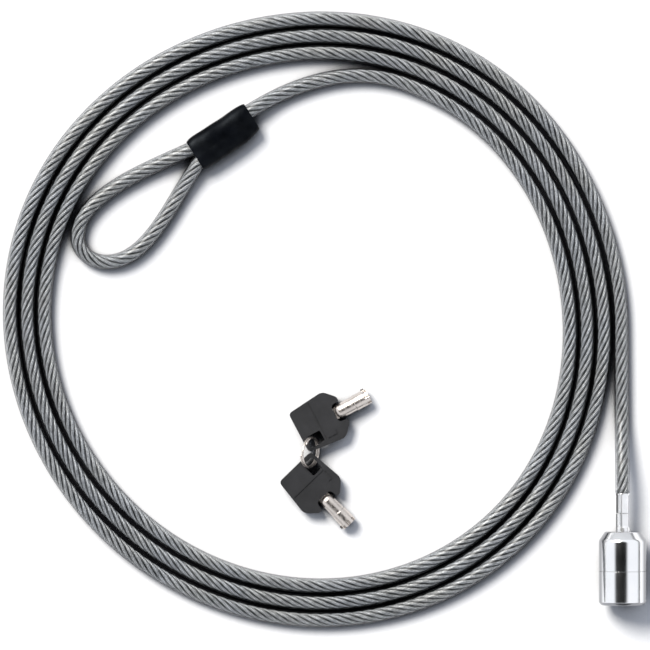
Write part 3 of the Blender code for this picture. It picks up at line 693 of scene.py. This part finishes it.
def dense(profile, step=0.25):
    """Adds points to a profile so that none are further apart than step."""
    out = [profile[0]]
    for a, b in zip(profile, profile[1:]):
        n = max(1, int(math.ceil(math.hypot(a[0] - b[0], a[1] - b[1]) / step)))
        out += [(a[0] + (b[0] - a[0]) * k / n, a[1] + (b[1] - a[1]) * k / n)
                for k in range(1, n + 1)]
    return out


def signed_power(value, power):
    return math.copysign(abs(value) ** power, value)


def box_tool(size, centre, matrix):
    bm = bmesh.new()
    bmesh.ops.create_cube(bm, size=1.0)
    bmesh.ops.scale(bm, verts=bm.verts, vec=[v * MM for v in size])
    bmesh.ops.translate(bm, verts=bm.verts, vec=[v * MM for v in centre])
    return from_bmesh("tool", bm, matrix=matrix)


def combine(obj, tool, operation="DIFFERENCE"):
    """Cuts the tool from the object, or joins it on, and removes the tool."""
    modifier = obj.modifiers.new("cut", "BOOLEAN")
    modifier.operation, modifier.object, modifier.solver = operation, tool, "EXACT"
    depsgraph = bpy.context.evaluated_depsgraph_get()
    mesh = bpy.data.meshes.new_from_object(obj.evaluated_get(depsgraph))
    obj.modifiers.clear()
    obj.data = mesh
    bpy.data.objects.remove(tool, do_unlink=True)


def stand_in(node):
    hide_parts(node)


def place(obj, node, body, slot):
    stand_in(node)
    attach(obj, body)


# ------------------------------------------------------------------ rope and jacket
def stations(s0, s1, step):
    return np.linspace(s0, s1, int(math.ceil((s1 - s0) / step)) + 1)


def rope(name, s0, s1):
    """Six twisted strands; each shows the outer part of a circle."""
    s = stations(s0, s1, ROPE_STEP)
    p, side, up, _ = path_frames(s)
    strand_r, strand_at = ROPE_R / 3, ROPE_R * 2 / 3
    face = np.radians(np.linspace(-30, 30, STRAND_FACETS + 1))
    lobe = (strand_at * np.cos(face)
            + np.sqrt(np.maximum(strand_r**2 - (strand_at * np.sin(face)) ** 2, 0)))
    angle = np.concatenate([np.radians(60 * k) + face[:-1] for k in range(6)])
    radius = np.tile(lobe[:-1], 6)
    twist = -2 * np.pi * s / ROPE_LAY
    a = angle[None, :] + twist[:, None]
    pts = p[:, None] + radius[None, :, None] * (
        np.cos(a)[..., None] * side[:, None] + np.sin(a)[..., None] * up[:, None])
    # U is the strand's number plus the fraction across it, so that no face straddles a wrap
    uv = np.zeros((len(s), 6 * STRAND_FACETS + 1, 2))
    uv[..., 0] = (np.arange(6 * STRAND_FACETS + 1) / STRAND_FACETS)[None, :]
    uv[..., 1] = s[:, None]
    return grid_mesh(name, pts, MAT["rope_steel"], uv)


def jacket(name, s0, s1, cut_start, cut_end):
    """A clear tube. A cut end is rounded and runs back inside, so that the wall shows."""
    s = stations(s0, s1, JACKET_STEP)
    p, side, up, forward = path_frames(s)
    a = 2 * np.pi * np.arange(JACKET_SIDES) / JACKET_SIDES
    ring = np.cos(a)[None, :, None] * side[:, None] + np.sin(a)[None, :, None] * up[:, None]
    body = p[:, None] + CABLE_R * ring

    def end_ring(i, inward, r):
        sign = 1 if i == 0 else -1
        return p[i][None] + forward[i][None] * (sign * inward) + r * ring[i]

    # each ring of a lip: distance in from the end, radius; from the inside out
    lip = ((0.9, CABLE_R - JACKET_WALL), (0.03, CABLE_R - JACKET_WALL + 0.03),
           (0.0, CABLE_R - JACKET_WALL * 0.6), (0.03, CABLE_R - 0.05))
    rings = list(body)
    if cut_start:
        rings[0] = end_ring(0, 0.12, CABLE_R)
        rings = [end_ring(0, *entry) for entry in lip] + rings
    if cut_end:
        rings[-1] = end_ring(-1, 0.12, CABLE_R)
        rings += [end_ring(-1, *entry) for entry in reversed(lip)]
    return grid_mesh(name, np.array(rings), MAT["clear_pvc"])


def bend_with(obj, stretch):
    """Ties the coil's stretch to the coil's body; the other stretches only have their placing baked
    into their meshes.
    """
    if stretch == "coil":
        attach(obj, "cable_coil")
    elif stretch == "lock_lead":
        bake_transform(obj)
    else:
        heading = Vector(path_frames(np.array([S_BEND]))[3][0])
        heading.z = 0
        heading.normalize()
        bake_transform(obj)


# stretch, arc lengths of the rope's start, the jacket's start, and the end of both
STRETCHES = (
    ("lock_lead", 0.0, S_JACKET, S_LEAD),
    ("coil", S_LEAD, S_LEAD, S_EYE),
    ("eye", S_EYE, S_EYE, TOTAL),
)
for stretch, rope_start, jacket_start, end in STRETCHES:
    wires = rope("rope_" + stretch, rope_start, end)
    tube = jacket("jacket_" + stretch, jacket_start, end, stretch == "lock_lead",
                  stretch == "eye")
    stand_in("wire_rope_" + stretch)
    bend_with(wires, stretch)
    stand_in("clear_jacket_" + stretch)
    bend_with(tube, stretch)


# ------------------------------------------------------------------ crimp sleeve and stud
# In the head's frame local Z is the distance from the keyway face, and -Y is up.
HEAD_M = (Matrix.Translation(world((HEAD_X, HEAD_Y0, HEAD_Z)))
          @ Matrix.Rotation(math.radians(-90), 4, "X"))
lo, hi = span("crimp_sleeve")
CRIMP_Z0, CRIMP_Z1, CRIMP_R = lo.y - HEAD_Y0, hi.y - HEAD_Y0, (hi.x - lo.x) / 2


def pressed(radius, z0, z1, turn, flat):
    """Radius offset of a six-sided pressed zone from z0 to z1, its flats turned by degrees.
    flat is the distance of a flat from the axis, less than the full radius by that depth."""
    turn = math.radians(turn)

    def offset(a, z):
        inside = ease((z - z0) / 0.5) * ease((z1 - z) / 0.5)
        near = (a - turn + math.pi / 6) % (math.pi / 3) - math.pi / 6
        return -inside * max(0.0, radius - (radius - flat) / math.cos(near))
    return offset


def crimp_sleeve():
    # radius, height
    profile = [(CABLE_R - 0.32, CRIMP_Z1 - 0.9), (CABLE_R - 0.32, CRIMP_Z1), (CRIMP_R, CRIMP_Z1),
               (CRIMP_R, CRIMP_Z0), (1.05, CRIMP_Z0), (1.05, CRIMP_Z0 + 1.0)]
    profile = dense(rounded_profile(profile, [0, 0.08, 0.14, 0.16, 0.05, 0], 3))
    squeeze = pressed(CRIMP_R, CRIMP_Z0 - 0.6, CRIMP_Z1 - 0.3, turn=-73, flat=0.31)
    skin = turned("crimp_skin", profile, MAT["swaged_steel"], HEAD_M, 72, squeeze)
    place(skin, "crimp_sleeve", "lock_lead", "swaged_steel")


def swivel_stud():
    lo, hi = span("swivel_stud")
    z0, z1 = lo.y - HEAD_Y0, hi.y - HEAD_Y0
    collar_r, collar_z = (hi.x - lo.x) / 2, 20.45
    stud_r, waist_z = 1.95, 17.2
    # radius, height
    profile = [
        (0, z1), (1.5, z1), (1.5, z1 - 1.25), (0.95, z1 - 1.3),
        (0.95, CRIMP_Z0 - 0.12), (collar_r, CRIMP_Z0 - 0.15),
        (collar_r, collar_z), (stud_r, collar_z - 0.02),
        (stud_r, waist_z + 0.95), (1.5, waist_z + 0.72), (1.3, waist_z + 0.35),
        (1.3, waist_z - 0.35), (1.5, waist_z - 0.72), (stud_r, waist_z - 0.95),
        (stud_r, z0 + 0.3), (stud_r - 0.6, z0), (0, z0)]
    radii = [0, 0.2, 0.05, 0.03, 0.03, 0.16, 0.12, 0.02] + [0.2] * 9
    profile = dense(rounded_profile(profile, radii, 3))
    squeeze = pressed(collar_r, 24.3, CRIMP_Z0 + 0.2, turn=-134, flat=0.27)
    skin = turned("stud_skin", profile, MAT["stud_steel"], HEAD_M, 72, squeeze)
    place(skin, "swivel_stud", "stud", "swaged_steel")


crimp_sleeve()
swivel_stud()

# ------------------------------------------------------------------ lock head
SEAM_Z = SEAM_Y - HEAD_Y0       # the seam between collar and body, from the keyway face
TOP_Z = HEAD_TOP - HEAD_Y0


def head_body():
    # radius, height
    profile = [(2.28, TOP_Z - 2.8), (2.28, TOP_Z), (5.6, TOP_Z), (HEAD_R, TOP_Z - 2.8),
               (HEAD_R, SEAM_Z + 0.02), (6.3, SEAM_Z + 0.02), (6.3, 14.0), (6.05, 14.0),
               (6.05, 20.25), (2.28, 20.25)]
    radii = [0, 0.12, 0.35, 0.7, 0.035, 0.05, 0.05, 0.05, 0.1, 0]
    skin = turned("head_body_skin", rounded_profile(profile, radii, 8), MAT["chrome"],
                  HEAD_M, 160)
    place(skin, "lock_body", "lock_head", "chrome")


def head_collar():
    """The key end, with a notch cut upward from its mouth."""
    # radius, height
    profile = [(4.75, 13.7), (6.15, 13.7), (6.15, SEAM_Z - 0.04), (HEAD_R, SEAM_Z - 0.04),
               (HEAD_R, 0.9), (6.7, 0.0), (2.62, 0.0), (2.62, 4.4), (3.83, 4.4),
               (3.83, 7.45), (4.75, 7.45), (4.75, 13.7)]
    radii = [0, 0.1, 0.03, 0.035, 0.15, 0.15, 0.12, 0.03, 0.03, 0.03, 0.03, 0]
    skin = turned("head_collar_skin", rounded_profile(profile, radii, 6), MAT["chrome"],
                  HEAD_M, 160)
    combine(skin, box_tool((1.05, 3.6, 5.2), (0, -1.75, 1.9), HEAD_M))
    place(skin, "lock_collar", "lock_head", "chrome")


def pin_spring(number):
    """A wound spring with closed end coils."""
    lo, hi = span(f"driver_pin_{number}")
    axis_at, pin_face = (lo + hi) / 2, hi.y
    lo, hi = span(f"pin_spring_{number}")
    y0, y1 = lo.y + 0.09, hi.y - 0.09
    wire_r, coil_r = 0.085, 0.32
    turns, steps, sides = 6.5, 20, 10
    n = int(turns * steps)
    rise = [0.25 if min(i, n - i) < 0.85 * steps else 1.0 for i in range(n)]
    full_rise, risen, rows = sum(rise), 0.0, []
    for i in range(n + 1):
        a = math.tau * i / steps
        ca, sa = math.cos(a), math.sin(a)
        taper = min(1.0, min(i, n - i) / 2.0)
        at = Vector((axis_at.x + coil_r * ca, y0 + (y1 - y0) * risen / full_rise,
                     axis_at.z + coil_r * sa))
        out, forward = Vector((ca, 0, sa)), Vector((0, 1, 0))
        angles = [math.tau * q / sides for q in range(sides)]
        rows.append([tuple(at + (out * math.cos(b) + forward * math.sin(b)) * wire_r * taper)
                     for b in angles])
        risen += rise[min(i, n - 1)]
    spring = grid_mesh(f"pin_spring_{number}_skin", np.array(rows), MAT["spring_steel"])
    place(spring, f"pin_spring_{number}", "lock_head", "spring_steel")
    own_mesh(spring)


head_body()
head_collar()
for number, travel in enumerate(PIN_TRAVEL, 1):
    pin_spring(number)


# ------------------------------------------------------------------ eye cover
# Local X runs along the sleeve from EYE_A; local Y points away from EYE_SIDE.
def cover_section(x):
    """Half width, half thickness and middle: the sleeve widens along its +Y side only."""
    t = ease((x + 1.5) / 10.0)
    plus, minus = 4.10 + 1.50 * t, 5.75 - 0.12 * t
    pinch = 1 - 0.09 * math.exp(-x / 0.75) - 0.11 * math.exp(-(COVER_L - x) / 0.8)
    return (plus + minus) / 2 * pinch, (3.1 + 0.2 * t) * pinch, (plus - minus) / 2


def soft_noise(p):
    """Smooth sum of five waves, the same five at every call."""
    r = random.Random(5)
    out = 0.0
    for _ in range(5):
        d = Vector((r.uniform(-1, 1), r.uniform(-1, 1), r.uniform(-1, 1)))
        out += math.sin(p.dot(d) * r.uniform(0.5, 1.1) + r.uniform(0, 6.28))
    return out / 5


def cover_ring(x, around=96):
    """A shrunk section: a soft waist between the ropes further along, wrinkles at the ends."""
    half_width, half_thick, middle = cover_section(x)
    row = []
    for k in range(around):
        a = math.tau * k / around
        ca, sa = math.cos(a), math.sin(a)
        y = middle + half_width * signed_power(ca, 0.72)
        p = Vector((x, y, half_thick * signed_power(sa, 0.80)))
        waist = (-0.13 * ease((x - 7.0) / 6.0) * math.exp(-(y / 1.3) ** 2)
                 * (1 if abs(sa) > 0.5 else 0))
        ends = 0.16 * (math.exp(-x / 1.6) + math.exp(-(COVER_L - x) / 1.8))
        waves = 0.16 * soft_noise(p) + ends * math.sin(a * 3 + 0.8)
        p += Vector((0, ca, sa)) * max(-0.16, min(0.14, waves))
        p.z += waist * (1 if sa > 0 else -1)
        row.append(tuple(p))
    return row


def eye_cover():
    rings = 90
    xs = [COVER_L * (0.5 - 0.5 * math.cos(math.pi * k / (rings - 1))) for k in range(rings)]
    # the open ends roll in over the ropes; each ring: distance in from the end, share of size
    start_roll = ((1.4, 0.86), (0.15, 0.88), (0.0, 0.93), (0.04, 0.98))
    end_roll = ((0.04, 0.985), (0.0, 0.94), (0.15, 0.89), (1.4, 0.87))

    def shrunk(row, x, share, middle):
        return [(x, middle + (y - middle) * share, z * share) for _x, y, z in row]

    first, last = cover_ring(0), cover_ring(COVER_L)
    middle0, middle1 = cover_section(0)[2], cover_section(COVER_L)[2]
    pts = [shrunk(first, inward, share, middle0) for inward, share in start_roll]
    pts += [cover_ring(x) for x in xs[1:-1]]
    pts += [shrunk(last, COVER_L - inward, share, middle1) for inward, share in end_roll]
    turn = np.array(Matrix.Rotation(math.atan2(EYE_DIR.y, EYE_DIR.x), 3, "Z"))
    origin = Vector((*(EYE_A - EYE_SIDE * EYE_GAP / 2), EYE_Z))
    skin = grid_mesh("eye_cover_skin", np.array(pts) @ turn.T + np.array(tuple(origin)),
                     MAT["black_sleeve"])
    place(skin, "eye_cover", "eye_lead", "black_sleeve")


eye_cover()

# ------------------------------------------------------------------ keys and ring
# A key's local X runs along the barrel to its tip, and Z is its bow's thickness.
BARREL_R, BORE_R, BARREL_TIP = 2.5, 1.7, 9.2
BOW_T, BOW_HALF, BOW_BACK, BOW_FRONT = 2.6, 8.1, -15.8, 0.0
RIM_BEVEL = 0.34
SLOT_X0, SLOT_X1, SLOT_Y0, SLOT_Y1 = -14.4, -9.6, 2.25, 6.1  # the ring's slot through the bow
SLOT_INSET = 2.05               # from the slot's outer corner to where the ring passes, in X and Y
KEY_TILT = 1.5                  # degrees, the barrel's tip down
# corner x, y, rounding
BOW_OUTLINE = (
    (BOW_BACK, -BOW_HALF + 1.2, 1.3), (BOW_BACK, BOW_HALF - 1.2, 1.3), (-3.3, BOW_HALF, 1.5),
    (BOW_FRONT, 4.5, 0.6), (BOW_FRONT, 3.2, 0.5), (-3.0, 2.9, 1.4), (-3.0, -2.9, 1.4),
    (BOW_FRONT, -3.2, 0.5), (BOW_FRONT, -4.5, 0.6), (-3.3, -BOW_HALF, 1.5),
)
# lines sunk in both faces of the bow: length in x and y, centre x, y
BOW_GROOVES = ((0.38, 12.6, -8.8, -0.6), (3.4, 0.46, -6.6, 5.9), (0.46, 1.5, -5.0, 5.35))

RING_R, RING_WIRE = 4.7, 0.28
RING_CROSS_Z = 3.1              # height at which the ring's leaning plane is placed over the keys
WEB = 4.2                       # from the ring's middle line to each key, along the chord
RING_LEAN = math.radians(30)
RING_CHORD = Vector((math.cos(math.radians(84.0)), math.sin(math.radians(84.0))))
LEAN_SIDE = Vector((-RING_CHORD.y, RING_CHORD.x))
RING_Z = RING_R * math.cos(RING_LEAN) + 0.6
RING_MID = (RING_CENTRE.to_2d()
            - LEAN_SIDE * (RING_Z - RING_CROSS_Z) * math.tan(RING_LEAN))


def key_matrix(ring_at, direction, flip):
    """Lays a key down with its ring slot at ring_at and its barrel pointing in a direction."""
    tilt = math.radians(KEY_TILT)
    turn = Matrix.Rotation(math.radians(direction), 4, "Z") @ Matrix.Rotation(tilt, 4, "Y")
    if flip:
        turn = turn @ Matrix.Rotation(math.pi, 4, "X")
    mark = turn @ Vector((SLOT_X0 + SLOT_INSET, SLOT_Y1 - SLOT_INSET, 0))
    height = BARREL_R + 0.03 + math.sin(tilt) * BARREL_TIP
    at = world((ring_at[0] - mark.x, ring_at[1] - mark.y, height))
    return Matrix.Translation(at) @ turn


def bow_plate(name, loops, matrix):
    """A flat plate about its middle plane, its rims rounded."""
    bm = bmesh.new()
    for loop in loops:
        verts = [bm.verts.new((x * MM, y * MM, -BOW_T / 2 * MM)) for x, y in loop]
        for a, b in zip(verts, verts[1:] + verts[:1]):
            bm.edges.new((a, b))
    bmesh.ops.triangle_fill(bm, use_beauty=True, use_dissolve=False, edges=bm.edges[:])
    made = bmesh.ops.extrude_face_region(bm, geom=bm.faces[:])
    top = [v for v in made["geom"] if isinstance(v, bmesh.types.BMVert)]
    bmesh.ops.translate(bm, verts=top, vec=(0, 0, BOW_T * MM))
    bmesh.ops.recalc_face_normals(bm, faces=bm.faces)

    def is_rim(edge):
        level = [abs(f.normal.z) > 0.9 for f in edge.link_faces]
        return len(level) == 2 and level[0] != level[1]

    bmesh.ops.bevel(bm, geom=[e for e in bm.edges if is_rim(e)], offset=RIM_BEVEL * MM,
                    segments=5, profile=0.5, affect="EDGES", clamp_overlap=True)
    return from_bmesh(name, bm, MAT["black_plastic"], matrix)


def crisp(mesh):
    """Smooth, but with flat faces kept flat right up to their rounded rims."""
    mesh.shade_smooth()
    bm = bmesh.new()
    bm.from_mesh(mesh)
    for e in bm.edges:
        if len(e.link_faces) != 2:
            continue
        a, b = e.link_faces
        flat_a, flat_b = abs(a.normal.z) > 0.9999, abs(b.normal.z) > 0.9999
        e.smooth = not (flat_a != flat_b or a.normal.angle(b.normal, 0) > math.radians(32))
    bm.to_mesh(mesh)
    bm.free()


def key_bow(index, matrix):
    outline = rounded_loop([(x, y) for x, y, _r in BOW_OUTLINE], [r for _x, _y, r in BOW_OUTLINE])
    slot = rounded_loop([(SLOT_X0, SLOT_Y0), (SLOT_X1, SLOT_Y0), (SLOT_X1, SLOT_Y1),
                         (SLOT_X0, SLOT_Y1)], [0.7] * 4)
    bow = bow_plate(f"key_{index}_bow_skin", [outline, slot], matrix)
    for sign in (1, -1):
        z = sign * (BOW_T / 2 + 0.05)
        for length_x, length_y, x, y in BOW_GROOVES:
            combine(bow, box_tool((length_x, length_y, 0.6), (x, y, z), matrix))
    crisp(bow.data)
    place(bow, f"key_{index}_bow", f"key_{index}", "black_plastic")


def notch_tool(angle, depth, matrix):
    """A round cutter reaching a depth into the barrel's tip."""
    radius, length, ring_r = 0.55, 4, 2.35
    bm = bmesh.new()
    bmesh.ops.create_cone(bm, cap_ends=True, segments=20, radius1=radius * MM,
                          radius2=radius * MM, depth=length * MM)
    bmesh.ops.translate(bm, verts=bm.verts, vec=(
        ring_r * math.cos(angle) * MM, ring_r * math.sin(angle) * MM,
        (BARREL_TIP - depth + length / 2) * MM))
    return from_bmesh("tool", bm, matrix=matrix)


def key_barrel(index, matrix):
    """A bored barrel along local Z, with a tang inside the bow, a lug and seven tip notches."""
    matrix = matrix @ Matrix.Rotation(math.radians(90), 4, "Y")
    # radius, height
    profile = [(0, 1.6), (BORE_R, 2.0), (BORE_R, BARREL_TIP), (BARREL_R, BARREL_TIP),
               (BARREL_R, 4.1), (2.35, 3.9), (2.35, -1.2), (2.05, -2.0), (1.3, -2.5), (0, -2.6)]
    radii = [0, 0.05, 0.10, 0.14, 0.06, 0.06, 0.3, 0.4, 0.4, 0]
    barrel = turned(f"key_{index}_barrel_skin", rounded_profile(profile, radii, 4),
                    MAT["nickel"], matrix, 96)
    combine(barrel, box_tool((1.1, 3.8, 7.4), (0, 0, -5.6), matrix), "UNION")
    combine(barrel, box_tool((0.62, 0.9, 1.0), (0, -2.55, BARREL_TIP - 1.1), matrix), "UNION")
    for k, travel in enumerate(PIN_TRAVEL, 1):
        angle = -math.pi / 2 + math.tau * k / 8
        combine(barrel, notch_tool(angle, 0.5 + travel, matrix))
    smooth_by_angle(barrel.data)
    place(barrel, f"key_{index}_barrel", f"key_{index}", "nickel")


def key(index, matrix):
    key_bow(index, matrix)
    key_barrel(index, matrix)


def key_ring():
    """A split ring of nearly two turns, leaning over the keys."""
    up = Vector((LEAN_SIDE.x * math.sin(RING_LEAN), LEAN_SIDE.y * math.sin(RING_LEAN),
                 math.cos(RING_LEAN)))
    chord = RING_CHORD.to_3d()
    axis = chord.cross(up).normalized()
    turns, steps, around = 1.9, 96, 16
    turn_gap = 0.62             # between the two turns, along the axis
    n = int(turns * steps)
    rings = []
    for i in range(n + 1):
        a = math.tau * i / steps + math.radians(100)
        p = (RING_CENTRE + chord * RING_R * math.cos(a) + up * RING_R * math.sin(a)
             + axis * (turn_gap * (i / steps - 0.95)))
        out = (p - RING_CENTRE - axis * (p - RING_CENTRE).dot(axis)).normalized()
        # the wire is pressed a little flat, and its ends are rounded off
        taper = min(1.0, math.sqrt(min(i, n - i) / 2.0))
        row = []
        for k in range(around):
            b = math.tau * k / around
            row.append(tuple(p + out * RING_WIRE * taper * signed_power(math.cos(b), 0.8)
                             + axis * RING_WIRE * taper * signed_power(math.sin(b), 0.6)))
        rings.append(row)
    skin = grid_mesh("key_ring_skin", np.array(rings), MAT["nickel"])
    place(skin, "key_ring", "key_ring", "nickel")


key(1, key_matrix(RING_MID - RING_CHORD * WEB, direction=-46, flip=False))
key(2, key_matrix(RING_MID + RING_CHORD * WEB, direction=28, flip=True))
key_ring()


# ------------------------------------------------------------------ stage, light, camera
def add_floor():
    bm = bmesh.new()
    bmesh.ops.create_grid(bm, x_segments=1, y_segments=1, size=1.6)
    floor = from_bmesh("floor", bm, floor_material())
    floor.location.z = -0.0001


def add_world():
    """Bright walls all round, under a dark ceiling that leans a little towards -X."""
    studio = bpy.data.worlds.new("studio")
    scene.world = studio
    g = Graph(studio, "ShaderNodeOutputWorld", math_inputs=2)
    smooth = {"interpolation_type": "SMOOTHSTEP"}
    x, y, z = g.separate(g.coords("Generated"))
    leaning = g.math("ADD", g.math("MULTIPLY", z, 0.9848), g.math("MULTIPLY", x, -0.1736))
    from_ceiling = g.math("ARCCOSINE", leaning)              # angle from the ceiling's middle
    wall = g.remap(from_ceiling, span=(math.radians(22), math.radians(37)), **smooth)
    # darker below the horizon
    low = g.remap(g.math("ADD", z, g.math("MULTIPLY", x, -0.10)),
                  span=(0.0, 0.14), to=(0.12, 1.0), **smooth)
    # a greyer patch low on the +Y side, and a darker one low on the -Y side
    north = g.remap(g.math("SUBTRACT", y, g.math("MULTIPLY", z, 0.35)),
                    span=(0.55, 0.85), to=(1.0, 0.66), **smooth)
    south = g.remap(g.math("MULTIPLY", g.math("ADD", y, z), -1.0),
                    span=(0.45, 0.80), to=(1.0, 0.16), **smooth)
    level = g.math("MULTIPLY", g.math("MULTIPLY", wall, low), g.math("MULTIPLY", north, south))
    # reflections see a brighter, less blue room than the diffuse light does
    rays = g.node("ShaderNodeLightPath").outputs
    tint = g.mix(rays["Is Glossy Ray"], (0.81, 0.87, 1.0), (0.95, 0.965, 1.0))
    share = g.math("ADD", g.math("MULTIPLY", rays["Is Glossy Ray"], 0.44), 0.64)
    strength = g.math("ADD", g.math("MULTIPLY", level, 1.0), 0.004)
    room = g.node("ShaderNodeBackground", {
        "Color": tint, "Strength": g.math("MULTIPLY", strength, share)}).outputs[0]
    # seen directly, behind the floor's far edge, the room is as pale as the floor
    pale = g.node("ShaderNodeBackground", {"Color": (0.93, 0.935, 0.95, 1)}).outputs[0]
    g.finish(g.mix_shader(rays["Is Camera Ray"], room, pale))


def add_key_light():
    light = bpy.data.lights.new("key", "SUN")
    light.energy, light.angle = 4.1, math.radians(28)
    light.color = (1.0, 0.975, 0.93)
    obj = bpy.data.objects.new("key", light)
    scene.collection.objects.link(obj)
    obj.location = KEY_AT
    obj.rotation_euler = (-obj.location).to_track_quat("-Z", "Y").to_euler()


def add_camera():
    """A long lens looking straight down; the view's width is measured at the cable's height."""
    view_width, view_x, view_y = 204.75, 4.2525, -0.315
    lens, sensor_width = 400, 36
    data = bpy.data.cameras.new("camera")
    data.lens, data.sensor_width = lens, sensor_width
    data.clip_start, data.clip_end = 0.01, 10
    camera = bpy.data.objects.new("camera", data)
    scene.collection.objects.link(camera)
    distance = view_width * MM * lens / sensor_width
    camera.location = world((view_x, view_y, CABLE_R)) + Vector((0, 0, distance))
    scene.camera = camera


def set_render():
    scene.view_settings.view_transform = "Standard"
    scene.view_settings.look = "None"
    scene.view_settings.exposure = 0.0
    cycles = scene.cycles
    cycles.max_bounces = 8
    cycles.transparent_max_bounces = 24
    cycles.diffuse_bounces = 3
    cycles.glossy_bounces = 4
    cycles.caustics_reflective = False
    cycles.caustics_refractive = False


add_floor()
add_world()
add_key_light()
add_camera()
set_render()
